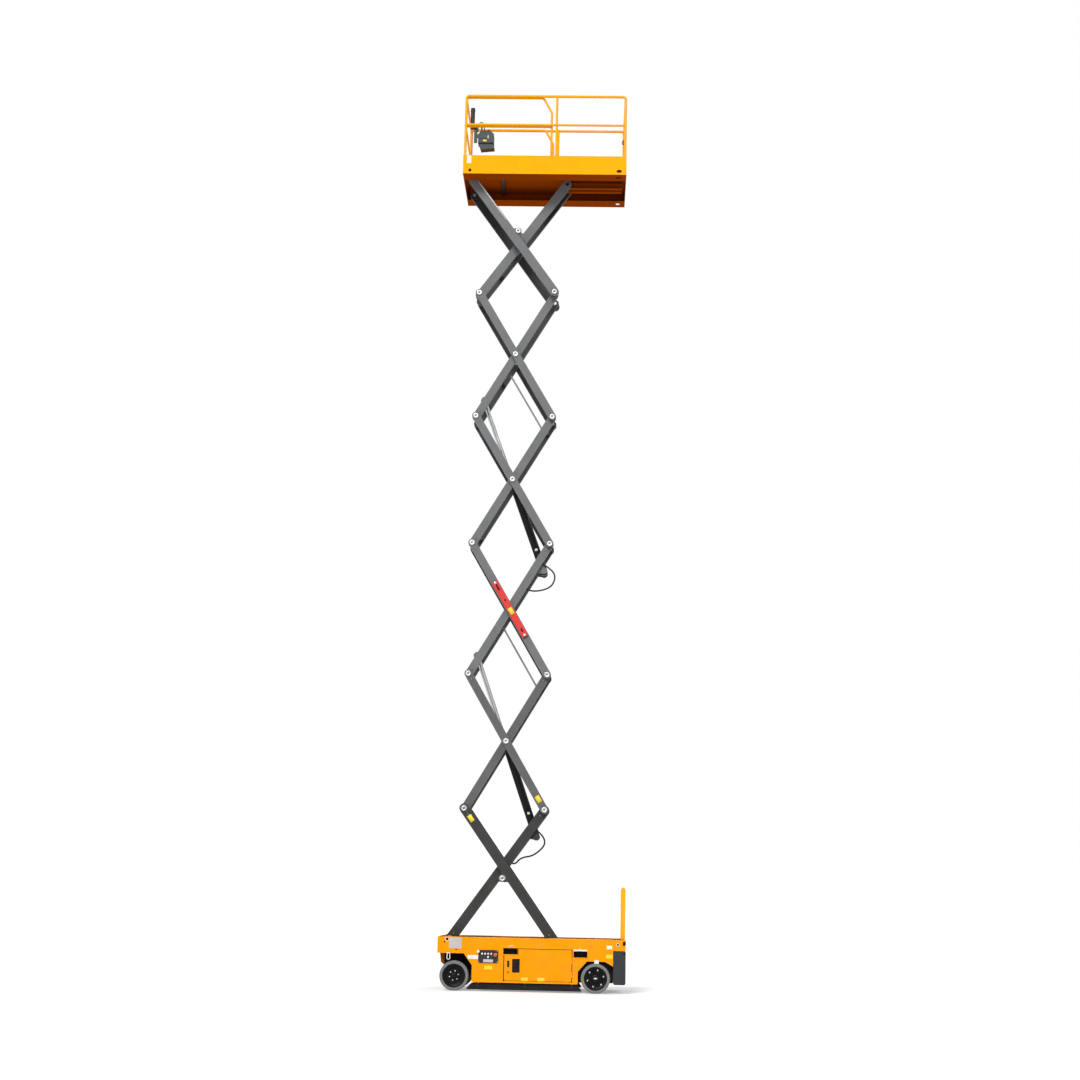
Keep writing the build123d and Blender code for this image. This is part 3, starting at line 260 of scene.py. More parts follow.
def surface(name, colour, rough=0.35, spread=0.06, scale=6.0, coat=0.0, metallic=0.0, bump=0.04,
            grain=260.0, dust=0.0, spec=0.4, wear_and_highlight=0.25, pale_edge_width=0.004, inner=None, under=None, hollow=None):
    """Paint, film, rubber or plastic: slow colour drift, fine bumps, paler edges that are partly worn paint
    and partly painted highlight, painted shade where asked, and a little dust.

    spread: how far the colour drifts; wear_and_highlight, pale_edge_width: how pale the edges are, partly as
    worn paint and partly as painted highlight, and how wide;
    inner: the painted shade on faces turned to the machine's middle plane; under: the painted shade on faces
    that look down;
    hollow: the painted shade inside a hollow body, and the box (x0, x1, half width, z0, z1) whose inside has
    it.
    """
    m = bpy.data.materials.new(name)
    nt = empty_tree(m)
    out = nt.nodes.new("ShaderNodeOutputMaterial")
    b = nt.nodes.new("ShaderNodeBsdfPrincipled")
    nt.links.new(b.outputs[0], out.inputs[0])
    co = nt.nodes.new("ShaderNodeTexCoord")
    at = co.outputs["Object"]
    drift = noise(nt, at, Scale=scale, Detail=5.0, Roughness=0.55)
    low = tuple(max(0.0, c * (1 - spread)) for c in colour)
    high = tuple(min(1.0, c * (1 + spread)) for c in colour)
    shade = blend_colour(nt, span(nt, drift, 0.32, 0.68), low, high)
    # painted shade on inner faces, under faces and hollow insides
    if inner or under or hollow:
        shade = shaded_faces(nt, co, shade, inner, under, hollow)
    # paler edges: partly worn paint, partly painted highlight
    if wear_and_highlight:
        shade = worn_and_highlit_edges(nt, shade, colour, wear_and_highlight, pale_edge_width)
    if dust:
        patches = noise(nt, at, Scale=2.2, Detail=7.0, Roughness=0.7)
        shade = blend_colour(nt, span(nt, patches, 0.5, 0.75, 0.0, dust), shade, DUST)
    nt.links.new(shade, b.inputs["Base Color"])
    nt.links.new(span(nt, drift, 0.3, 0.7, max(0.03, rough - 0.06), min(1.0, rough + 0.08)),
                 b.inputs["Roughness"])
    if bump:
        relief(nt, noise(nt, at, Scale=grain, Detail=2.0), b, bump, 0.002)
    b.inputs["Metallic"].default_value = metallic
    b.inputs["Specular IOR Level"].default_value = spec
    if coat:
        b.inputs["Coat Weight"].default_value = coat
        b.inputs["Coat Roughness"].default_value = 0.12
    return m


def metal(name, colour, rough=0.3, along=0, metallic=0.9):
    """Bare or plated metal with fine streaks along an axis, 0 for X to 2 for Z."""
    m = surface(name, colour, rough, 0.14, 5.0, metallic=metallic, bump=0.0, wear_and_highlight=0.3, spec=0.5)
    nt = m.node_tree
    b = next(n for n in nt.nodes if n.type == "BSDF_PRINCIPLED")
    co = next(n for n in nt.nodes if n.type == "TEX_COORD")
    stretch = nt.nodes.new("ShaderNodeMapping")
    stretch.inputs["Scale"].default_value = [6.0 if axis == along else 90.0 for axis in range(3)]
    nt.links.new(co.outputs["Object"], stretch.inputs["Vector"])
    relief(nt, noise(nt, stretch.outputs[0], Scale=3.0, Detail=4.0), b, 0.08, 0.001)
    return m


ORANGE = (1.0, 0.335, 0.001)
AMBER = (1.0, 0.445, 0.008)
# painted shade: near black for the insides of hollow bodies
SHADE_BLACK_INSIDE = (0.012, 0.010, 0.008)
# painted shade: a dark reddish colour for the deck's down-facing faces and inside
UNDERSIDE_SHADE = (0.30, 0.047, 0.001)
DUST = (0.42, 0.4, 0.36)
# boxes round the insides of hollow bodies, where painted shade goes: x0, x1, half width, z0, z1
CHASSIS_SHADE_BOX = (-1.2335, 1.2335, 0.5985, 0.0, 0.6805)
DECK_SHADE_BOX = (-1.2285, 1.1315, 0.5985, 11.42, 11.631)
BALLAST_SHADE_BOX = (-1.165, 0.0, 0.6, 0.0, 0.6)
M = {
    # painted shade: the chassis's inside and its wheel wells are painted near black
    "orange": surface("orange_paint", ORANGE, 0.36, 0.04, dust=0.03, spec=0.08,
                      hollow=(SHADE_BLACK_INSIDE, CHASSIS_SHADE_BOX)),
    "amber": surface("amber_paint", AMBER, 0.36, 0.03, spec=0.1),
    # painted shade: the deck's down-facing faces and its inside take the dark reddish colour
    "deck": surface("deck_paint", AMBER, 0.45, 0.03, spec=0.0,
                    hollow=(UNDERSIDE_SHADE, DECK_SHADE_BOX), under=UNDERSIDE_SHADE),
    # painted shade: the ballast is body orange as it looks in shade, and near black inside behind its front
    # end
    "shaded_orange": surface("shaded_orange_paint", (0.34, 0.1, 0.004), 0.55, 0.12, spec=0.05,
                     hollow=(SHADE_BLACK_INSIDE, BALLAST_SHADE_BOX)),
    # painted shade: faces turned inward and faces that look down get far darker copies of the arm paint; the
    # paler edges are partly painted highlight
    "arm": surface("arm_paint", (0.155, 0.158, 0.162), 0.5, 0.1, 4.0, dust=0.06, spec=0.25, wear_and_highlight=0.5,
                   pale_edge_width=0.007, inner=(0.026, 0.027, 0.028), under=(0.014, 0.014, 0.015)),
    "arm_low": surface("arm_paint_low", (0.105, 0.107, 0.108), 0.5, 0.1, 4.0, dust=0.06, spec=0.25, wear_and_highlight=0.5,
                       pale_edge_width=0.007, inner=(0.022, 0.022, 0.023), under=(0.012, 0.012, 0.013)),
    "charcoal": surface("charcoal_paint", (0.034, 0.036, 0.034), 0.5, 0.12, 4.0, dust=0.05, spec=0.22,
                        wear_and_highlight=0.4, pale_edge_width=0.007, inner=(0.012, 0.012, 0.012), under=(0.008, 0.008, 0.008)),
    "slate": surface("slate_paint", (0.036, 0.039, 0.043), 0.45, 0.12, spec=0.15, wear_and_highlight=0.3),
    "guard": surface("guard_paint", (0.013, 0.013, 0.015), 0.5, 0.15, spec=0.12, wear_and_highlight=0.3),
    "black": surface("black_paint", (0.007, 0.007, 0.008), 0.4, 0.2, spec=0.12, wear_and_highlight=0.08),
    "plastic": surface("black_plastic", (0.018, 0.018, 0.02), 0.5, 0.2, bump=0.15, grain=500, spec=0.3),
    "housing": surface("grey_plastic", (0.05, 0.058, 0.06), 0.5, 0.12, bump=0.12, grain=420, spec=0.3),
    "zinc": metal("zinc", (0.60, 0.60, 0.58), 0.42),
    "steel": metal("steel_bar", (0.17, 0.17, 0.175), 0.5, metallic=0.35),
    "chrome": metal("chrome_rod", (0.46, 0.47, 0.48), 0.22, 2, 1.0),
    "red": surface("red_paint", (0.72, 0.02, 0.012), 0.35, 0.08, coat=0.3),
    "yellow": surface("yellow_film", (0.92, 0.66, 0.03), 0.4, 0.04),
    "white": surface("white_film", (0.82, 0.82, 0.8), 0.4, 0.03),
    "grey": surface("grey_film", (0.52, 0.51, 0.48), 0.4, 0.04),
    "tyre": surface("grey_rubber", (0.20, 0.203, 0.198), 0.75, 0.08, 12.0, bump=0.3, grain=120, dust=0.2,
                    spec=0.2),
    "rim": surface("rim_paint", (0.006, 0.006, 0.007), 0.45, 0.25, spec=0.1, wear_and_highlight=0.1),
    "rubber": surface("black_rubber", (0.012, 0.012, 0.012), 0.6, 0.2, bump=0.1, spec=0.25),
}
# the longest matching beginning of a node's name gives its paint
PAINT_OF = {
    "chassis": "orange", "service_door": "orange", "entry_ladder": "amber", "platform_deck": "deck",
    "main_rails": "amber", "entry_gate": "amber", "extension_deck": "amber", "extension_rails": "amber",
    "arm_pins": "zinc", "arm": "arm", "arm_inner_1": "charcoal", "arm_outer_1": "charcoal",
    "arm_inner_2": "arm_low", "arm_outer_2": "arm_low", "base_pins": "zinc", "top_rollers": "black",
    "hose_guide": "steel", "cylinder_barrel": "black", "cylinder_rod": "chrome", "front_ballast": "shaded_orange",
    "battery": "plastic", "front_axle": "black", "rear_axle": "black", "knuckle": "black",
    "pothole_guard": "guard", "rear_step_box": "slate", "lower_controls": "plastic", "control_box": "housing",
    "document_holder": "plastic", "safety_prop": "red", "hose_loop": "rubber", "tyre": "tyre", "rim": "rim",
}
for name, obj in NODES.items():
    best = max((start for start in PAINT_OF if name.startswith(start)), key=len)
    obj.data.materials.clear()
    obj.data.materials.append(M[PAINT_OF[best]])
for obj in hoses:
    obj.data.materials.append(M["rubber"])


# ---------------- mesh tools
def circles(bm, base, axis, profile, turns):
    """Rings of vertices round an axis, one for each (radius, distance along the axis) of the profile."""
    axis = Vector(axis).normalized()
    across = axis.orthogonal().normalized()
    other = axis.cross(across)
    rings = []
    for radius, dist in profile:
        loop = []
        for i in range(turns):
            a = 2 * math.pi * i / turns
            spoke = (across * math.cos(a) + other * math.sin(a)) * radius
            loop.append(bm.verts.new(Vector(base) + axis * dist + spoke))
        rings.append(loop)
    return rings


def skin(bm, rings):
    """Four-sided faces between each ring and the next."""
    turns = len(rings[0])
    for a, b in zip(rings, rings[1:]):
        for i in range(turns):
            j = (i + 1) % turns
            bm.faces.new((a[i], a[j], b[j], b[i]))


def close_ends(bm, rings):
    bm.faces.new(list(reversed(rings[0])))
    bm.faces.new(rings[-1])


def lathe(bm, base, axis, profile, turns=24):
    """A solid of revolution: profile is (radius, distance along the axis) from base outwards."""
    rings = circles(bm, base, axis, profile, turns)
    skin(bm, rings)
    close_ends(bm, rings)


def ring(bm, base, axis, inner, outer, depth, turns=28):
    """A flat ring with square edges."""
    rings = circles(bm, base, axis, ((inner, 0.0), (inner, depth), (outer, depth), (outer, 0.0)), turns)
    skin(bm, rings + rings[:1])


def slab(bm, corners, thick):
    """A plate: corners in order round its face, thick is the vector to its other face."""
    low = [bm.verts.new(Vector(c)) for c in corners]
    high = [bm.verts.new(Vector(c) + Vector(thick)) for c in corners]
    bm.faces.new(list(reversed(low)))
    bm.faces.new(high)
    for i in range(len(low)):
        j = (i + 1) % len(low)
        bm.faces.new((low[i], low[j], high[j], high[i]))


def strip(bm, x0, x1, z0, z1, y, thick, radius):
    """A rounded plate on a side face, given by its edges; thick is signed, out from y."""
    side_plate(bm, (x0 + x1) / 2, (z0 + z1) / 2, x1 - x0, z1 - z0, y, thick, radius)


def side_plate(bm, x, z, width, high, y, thick, radius=0.006, turn=0.0):
    """A rounded plate on a face that looks along Y; thick is signed, out from y."""
    corners = []
    for cx, cz, start in ((1, 1, 0), (-1, 1, 90), (-1, -1, 180), (1, -1, 270)):
        for step in range(4):
            a = math.radians(start + 30 * step)
            dx = cx * (width / 2 - radius) + radius * math.cos(a)
            dz = cz * (high / 2 - radius) + radius * math.sin(a)
            corners.append((x + dx * math.cos(turn) - dz * math.sin(turn), y,
                            z + dx * math.sin(turn) + dz * math.cos(turn)))
    slab(bm, corners, (0, thick, 0))


def block(bm, low, high):
    """A straight-sided block between two corners; its edges are bevelled by the piece."""
    x0, y0, z0 = low
    x1, y1, z1 = high
    slab(bm, ((x0, y0, z0), (x1, y0, z0), (x1, y1, z0), (x0, y1, z0)), (0, 0, z1 - z0))


def tube(bm, points, radius, turns=10):
    """A bent round bar through points, mitred at the bends."""
    points = [Vector(p) for p in points]
    rings = []
    lead = (points[1] - points[0]).orthogonal().normalized()
    for i, p in enumerate(points):
        ahead = (points[min(i + 1, len(points) - 1)] - points[max(i - 1, 0)]).normalized()
        lead = (lead - ahead * lead.dot(ahead)).normalized()
        other = ahead.cross(lead)
        rings.append([bm.verts.new(p + (lead * math.cos(a) + other * math.sin(a)) * radius)
                      for a in (2 * math.pi * k / turns for k in range(turns))])
    skin(bm, rings)
    close_ends(bm, rings)


def screw(bm, base, axis):
    """A small domed screw head."""
    lathe(bm, base, axis, ((0.005, 0), (0.005, 0.0015), (0.003, 0.003)), 12)


def bolt(bm, base, axis, radius, high):
    """A washer and a hexagon head."""
    washer = 0.0024
    lathe(bm, base, axis, ((radius * 1.5, 0.0), (radius * 1.5, 0.0018), (radius * 1.35, washer)), 18)
    lathe(bm, Vector(base) + Vector(axis).normalized() * washer, axis,
          ((radius, 0.0), (radius, high * 0.8), (radius * 0.82, high)), 6)


def piece(name, body, mat, build, bevel=0.0012, smooth=True):
    """A mesh piece that rides a body: build(bm) draws it in the row frame."""
    bm = bmesh.new()
    build(bm)
    bmesh.ops.recalc_face_normals(bm, faces=bm.faces)
    mesh = bpy.data.meshes.new(name)
    bm.to_mesh(mesh)
    bm.free()
    obj = put(name, mesh)
    mesh.materials.append(M[mat])
    for p in mesh.polygons:
        p.use_smooth = smooth
    if bevel:
        b = obj.modifiers.new("edges", "BEVEL")
        b.width = bevel
        b.segments = 2
        b.limit_method = "ANGLE"
        b.angle_limit = math.radians(40)
        b.harden_normals = smooth
    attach(obj, body)
    return obj


# ---------------- arm pins
# pins that show on the outside: stage of the outer arm that carries them, x, z, arm plane
pins = [("1", left_x, level[1], "outer_end"), ("1", mid_x, centre_z[0], "outer_end"),
        ("6", right_x, level[5], "outer_end"), ("6", mid_x, centre_z[5], "outer_end")]
for n in range(2, 6):
    pins += [(str(n), right_x, level[n - 1], "outer"), (str(n), mid_x, centre_z[n - 1], "outer"),
             (str(n), left_x, level[n], "outer")]


def pin_faces(stage):
    """Cap, collar and centre bolt of each pin; those that pass the end arms when stowed are flatter."""
    seat = 0.011    # from the arm's face to the pin's end
    rows = []       # x, z, side, |y| of the arm's face, share of the full height
    for owner, x, z, where in pins:
        if owner == stage:
            for s in (-1, 1):
                rows.append((x, z, s, arm_face(where), 1.0 if where == "outer_end" else 0.4))

    def caps(bm):
        for x, z, s, face, flat in rows:
            lathe(bm, (x, s * (face + seat), z), (0, s, 0),
                  ((0.033, 0.0), (0.036, 0.001 * flat), (0.036, 0.006 * flat), (0.032, 0.009 * flat),
                   (0.022, 0.010 * flat), (0.020, 0.007 * flat)), 32)
    piece("pin_caps_" + stage, "outer_" + stage, "zinc", caps, 0.0)

    def collars(bm):
        for x, z, s, face, flat in rows:
            ring(bm, (x, s * face, z), (0, s, 0), 0.034, 0.0475, 0.006, 32)
    piece("pin_collars_" + stage, "outer_" + stage, "arm", collars, 0.001)

    def bolts(bm):
        for x, z, s, face, flat in rows:
            bolt(bm, (x, s * (face + seat + 0.007 * flat), z), (0, s, 0), 0.0095, 0.007 * flat ** 2)
    piece("pin_bolts_" + stage, "outer_" + stage, "steel", bolts, 0.0)


for stage in "123456":
    pin_faces(stage)


# ---------------- arms
# body, low end's x and z, slope, length, plane, paint
ARMS = []
for n in range(1, 7):
    end = n in (1, 6)
    length = end_length if end else 2 * half_arm
    tilt = end_slope if end else lift
    place = "_end" if end else ""
    paint = {1: "charcoal", 2: "arm_low"}.get(n, "arm")
    low_left = base_x if n == 1 else left_x
    low_right = slide_x if n == 1 else right_x
    ARMS.append(("inner_%d" % n, low_left, level[n - 1], tilt, length, "inner" + place, paint))
    ARMS.append(("outer_%d" % n, low_right, level[n - 1], math.pi - tilt, length, "outer" + place, paint))


def arm_trim(name, low_x, low_z, angle, length, where, paint):
    """Keeper plates beside the end pins, each with its bolt, and short weld beads near the centre."""
    keeper = 0.005      # a keeper plate's thickness
    bead_up = (half_deep_end if where.endswith("end") else half_deep) - 0.012

    def plates(bm):
        for s in (-1, 1):
            y = s * arm_face(where)
            for along in (0.082, length - 0.082):
                x, z = arm_point(low_x, low_z, angle, along, 0.0)
                side_plate(bm, x, z, 0.052, 0.024, y, s * keeper, 0.008, angle)
            for along in (length / 2 - 0.2, length / 2 + 0.2):
                x, z = arm_point(low_x, low_z, angle, along, bead_up)
                side_plate(bm, x, z, 0.09, 0.006, y, s * 0.0015, 0.0028, angle)
    piece("arm_plates_" + name, name, paint, plates, 0.001)

    def bolts(bm):
        for s in (-1, 1):
            y = s * (arm_face(where) + keeper)
            for along in (0.094, length - 0.094):
                x, z = arm_point(low_x, low_z, angle, along, 0.0)
                bolt(bm, (x, y, z), (0, s, 0), 0.006, 0.002)
    piece("arm_bolts_" + name, name, "steel", bolts, 0.0)


for row in ARMS:
    arm_trim(*row)


def arm_label(name, body, low_x, low_z, angle, along, where, width, high):
    """A blank label on the near face of an outer arm."""
    x, z = arm_point(low_x, low_z, angle, along, 0.0)
    y = -arm_face(where)
    piece(name, body, "yellow", lambda bm: side_plate(bm, x, z, width, high, y, -0.0015, 0.004, angle), 0.0)


arm_label("arm_label_low", "outer_2", right_x, level[1], math.pi - lift, 0.165, "outer", 0.095, 0.062)
arm_label("arm_label_foot", "outer_1", slide_x, level[0], math.pi - end_slope, end_length - 0.165,
          "outer_end", 0.100, 0.060)


# ---------------- lift cylinders
def cylinder_trim(number, foot, head):
    """Gland nut, wiper, port fittings and pressure pipe of the cylinder between two pins (x, z)."""
    run = Vector((head[0] - foot[0], 0, head[1] - foot[1])).normalized()
    up = Vector((-run.z, 0, run.x))
    start = Vector((foot[0], 0, foot[1]))
    body = "barrel_" + number
    barrel_len = 1.33

    def gland(bm):
        lathe(bm, start + run * (barrel_len - 0.058), run,
              ((0.0585, 0.0), (0.062, 0.002), (0.062, 0.05), (0.058, 0.056)), 12)
        lathe(bm, start + run * 0.10, run,
              ((0.0555, 0.0), (0.059, 0.003), (0.059, 0.017), (0.0555, 0.02)), 32)
    piece("gland_nut_" + number, body, "plastic", gland, 0.0015)

    def wiper(bm):
        lathe(bm, start + run * (barrel_len - 0.002), run, ((0.046, 0.0), (0.046, 0.006), (0.036, 0.009)), 32)
    piece("rod_wiper_" + number, body, "yellow", wiper, 0.0)

    def valve(bm):
        port = start + run * 0.33
        near = (0, -1, 0)
        lathe(bm, port + Vector((0, -0.05, 0)), near, ((0.022, 0.0), (0.022, 0.018), (0.018, 0.022)), 6)
        lathe(bm, port + Vector((0, -0.07, 0)), near, ((0.013, 0.0), (0.013, 0.02), (0.010, 0.024)), 12)
        lathe(bm, start + run * 0.24 - up * 0.05, -up, ((0.02, 0.0), (0.02, 0.022), (0.016, 0.026)), 6)
    piece("port_fittings_" + number, body, "zinc", valve, 0.001)

    def pipe(bm):
        off = Vector((0, -0.066, 0))
        tube(bm, [start + run * 0.36 + off, start + run * 0.8 + off, start + run * (barrel_len - 0.09) + off,
                  start + run * (barrel_len - 0.07) + off * 0.85], 0.006)
    piece("pressure_pipe_" + number, body, "black", pipe, 0.0)


foot_back, foot_up = 0.350, -0.117      # a cylinder's foot pin, from its arm's upper end
head_along, head_up = 0.290, 0.050      # and its head pin, from the low end of the arm that it lifts
mounts = [
    ("1", arm_point(base_x, level[0], end_slope, end_length - foot_back, foot_up),
     arm_point(left_x, level[2], lift, head_along, head_up)),
    ("2", arm_point(left_x, level[2], lift, 2 * half_arm - foot_back, foot_up),
     arm_point(left_x, level[4], lift, head_along, head_up)),
]
for number, foot, head in mounts:
    cylinder_trim(number, foot, head)


# ---------------- maintenance prop
def prop_trim():
    """Label, slots and pivots of the red prop; along is from the centre pin of its arm."""
    tilt = math.pi - lift
    prop_w = 0.032
    y = -(arm_face("outer") + prop_w)

    def at(along):
        return mid_x + along * math.cos(tilt), centre_z[2] + along * math.sin(tilt)

    x, z = at(-0.055)
    piece("prop_label", "outer_3", "yellow",
          lambda bm: side_plate(bm, x, z, 0.10, 0.06, y, -0.0015, 0.006, tilt), 0.0)

    def slots(bm):
        for along, width in ((0.33, 0.10), (-0.36, 0.06), (0.12, 0.03)):
            sx, sz = at(along)
            side_plate(bm, sx, sz, width, 0.024, y, -0.0012, 0.011, tilt)
    piece("prop_slots", "outer_3", "black", slots, 0.0)

    def pivots(bm):
        for along in (0.40, -0.44):
            sx, sz = at(along)
            lathe(bm, (sx, y, sz), (0, -1, 0), ((0.018, 0.0), (0.018, 0.006), (0.014, 0.009)), 20)
    piece("prop_pivots", "outer_3", "zinc", pivots, 0.0)


prop_trim()


# ---------------- chassis trim
def plates(name, body, mat, rows, y, thick=0.0015, radius=0.004, bevel=0.0004):
    """Rounded plates on a side face; rows are x0, x1, z0, z1, and thick is out from y."""
    out = math.copysign(thick, y)

    def draw(bm):
        for x0, x1, z0, z1 in rows:
            strip(bm, x0, x1, z0, z1, y, out, min(radius, (x1 - x0) / 2.1, (z1 - z0) / 2.1))
    piece(name, body, mat, draw, bevel)


film = 0.0012       # a label's thickness
plates("data_plate", "chassis", "grey", [(-1.086, -0.922, 0.540, 0.680)], -side_y, 0.003, 0.006, 0.001)
plates("front_slot", "chassis", "black", [(-1.003, -0.977, 0.519, 0.531), (-0.925, -0.790, 0.683, 0.6875)],
       -side_y, 0.001)
plates("side_films_yellow", "chassis", "yellow", [(0.982, 1.067, 0.452, 0.500)], -side_y, film)
plates("side_films_pale", "chassis", "white",
       [(-0.838, -0.690, 0.410, 0.458), (0.830, 0.888, 0.380, 0.427), (0.988, 1.060, 0.570, 0.616),
        (0.555, 0.735, 0.539, 0.556)], -side_y, film)
plates("side_films_far", "chassis", "yellow", [(-1.05, -0.93, 0.560, 0.640), (0.982, 1.067, 0.452, 0.500)],
       side_y, film)


# painted shade in the gaps round the service doors: black strips drawn on the chassis beside them
for name, s in (("door_gap_shade_near", -1), ("door_gap_shade_far", 1)):
    plates(name, "chassis", "black",
           [(0.532, 0.541, 0.131, 0.553), (-0.366, -0.354, 0.131, 0.470), (-0.170, 0.541, 0.548, 0.555)],
           s * side_y, 0.0008, 0.001, 0.0)


def door_trim(body, s):
    """Labels, latch, vent and folds of a service door on side s."""
    y = s * door_y
    raised = y + s * 0.001
    latch_x, keyhole_z = -0.301, 0.250
    plates("door_films_" + body, body, "yellow",
           [(-0.130, -0.040, 0.142, 0.186), (0.088, 0.179, 0.142, 0.186)], y, film)

    def recess(bm):
        side_plate(bm, latch_x, 0.355, 0.030, 0.086, y, s * 0.001, 0.014)
        side_plate(bm, latch_x, keyhole_z, 0.020, 0.020, y, s * 0.001, 0.009)
    piece("door_latch_recess_" + body, body, "black", recess, 0.0)

    def latch(bm):
        side_plate(bm, latch_x, 0.345, 0.016, 0.046, raised, s * 0.004, 0.007)
        lathe(bm, (latch_x, raised, keyhole_z), (0, s, 0), ((0.007, 0), (0.007, 0.003), (0.005, 0.0045)), 16)
    piece("door_latch_" + body, body, "plastic", latch, 0.0008)

    plates("door_vent_" + body, body, "black", [(-0.250, -0.150, 0.246, 0.422)], y, 0.001, 0.004)

    def louvres(bm):
        for k in range(7):
            z = 0.262 + 0.024 * k
            side_plate(bm, -0.200, z + 0.007, 0.092, 0.007, raised, s * 0.004, 0.003)
    piece("door_louvres_" + body, body, "guard", louvres, 0.0008)

    def folds(bm):
        for x0, x1, z0, z1 in ((-0.16, 0.50, 0.524, 0.527), (-0.34, 0.52, 0.154, 0.157)):
            strip(bm, x0, x1, z0, z1, y, s * 0.0016, 0.0013)
    piece("door_folds_" + body, body, "orange", folds, 0.0005)


door_trim("door_near", -1)
door_trim("door_far", 1)


def panel_trim():
    """Switches, stop button and labels of the lower controls, and the side's two pale knobs."""
    y = -panel_y
    near = (0, -1, 0)
    stop_x, stop_z, collar = -0.473, 0.466, 0.0045
    key_x, key_z = -0.567, 0.435

    def switches(bm):
        r = 0.012
        for x in (-0.647, -0.607, -0.567, -0.527):
            lathe(bm, (x, y, 0.478), near,
                  ((r * 1.3, 0), (r * 1.3, 0.003), (r, 0.0035), (r, 0.010), (r * 0.8, 0.012)), 20)
    piece("panel_switches", "chassis", "zinc", switches, 0.0)
    piece("stop_collar", "chassis", "yellow",
          lambda bm: lathe(bm, (stop_x, y, stop_z), near,
                           ((0.023, 0), (0.023, 0.003), (0.021, collar)), 28), 0.0)
    piece("stop_button", "chassis", "red",
          lambda bm: lathe(bm, (stop_x, y - collar, stop_z), near,
                           ((0.010, 0), (0.010, 0.008), (0.019, 0.011), (0.020, 0.018), (0.015, 0.022)), 28),
          0.0)
    plates("panel_film", "chassis", "grey", [(-0.632, -0.502, 0.370, 0.408)], y, film)
    plates("panel_film_yellow", "chassis", "yellow", [(-0.614, -0.511, 0.280, 0.325)], -side_y, film)

    def knobs(bm):
        lathe(bm, (-0.698, -side_y, 0.505), near,
              ((0.021, 0), (0.021, 0.004), (0.017, 0.006), (0.017, 0.016), (0.013, 0.019)), 24)
        lathe(bm, (0.642, -side_y, 0.560), near, ((0.012, 0), (0.012, 0.008), (0.009, 0.011)), 20)
    piece("side_knobs", "chassis", "white", knobs, 0.0)

    def key(bm):
        lathe(bm, (key_x, y, key_z), near, ((0.014, 0), (0.014, 0.004), (0.011, 0.006)), 24)
        side_plate(bm, key_x, key_z, 0.004, 0.016, y - 0.006, -0.014, 0.0015)
    piece("key_switch", "chassis", "zinc", key, 0.0006)


panel_trim()


def shackle(bm, x, z, s):
    """A lashing shackle that hangs under an eye."""
    y = s * (side_y + 0.012)
    half_wide, half_pin, bow_r = 0.016, 0.026, 0.020
    pin_z, bow_z = z + 0.05, z - 0.012
    bow = [(x + bow_r * math.cos(a) * 1.1, y, bow_z + bow_r * math.sin(a))
           for a in map(math.radians, range(200, 341, 20))]
    tube(bm, [(x - half_wide, y, pin_z)] + bow + [(x + half_wide, y, pin_z)], 0.0055)
    tube(bm, [(x - half_pin, y, pin_z), (x + half_pin, y, pin_z)], 0.007)


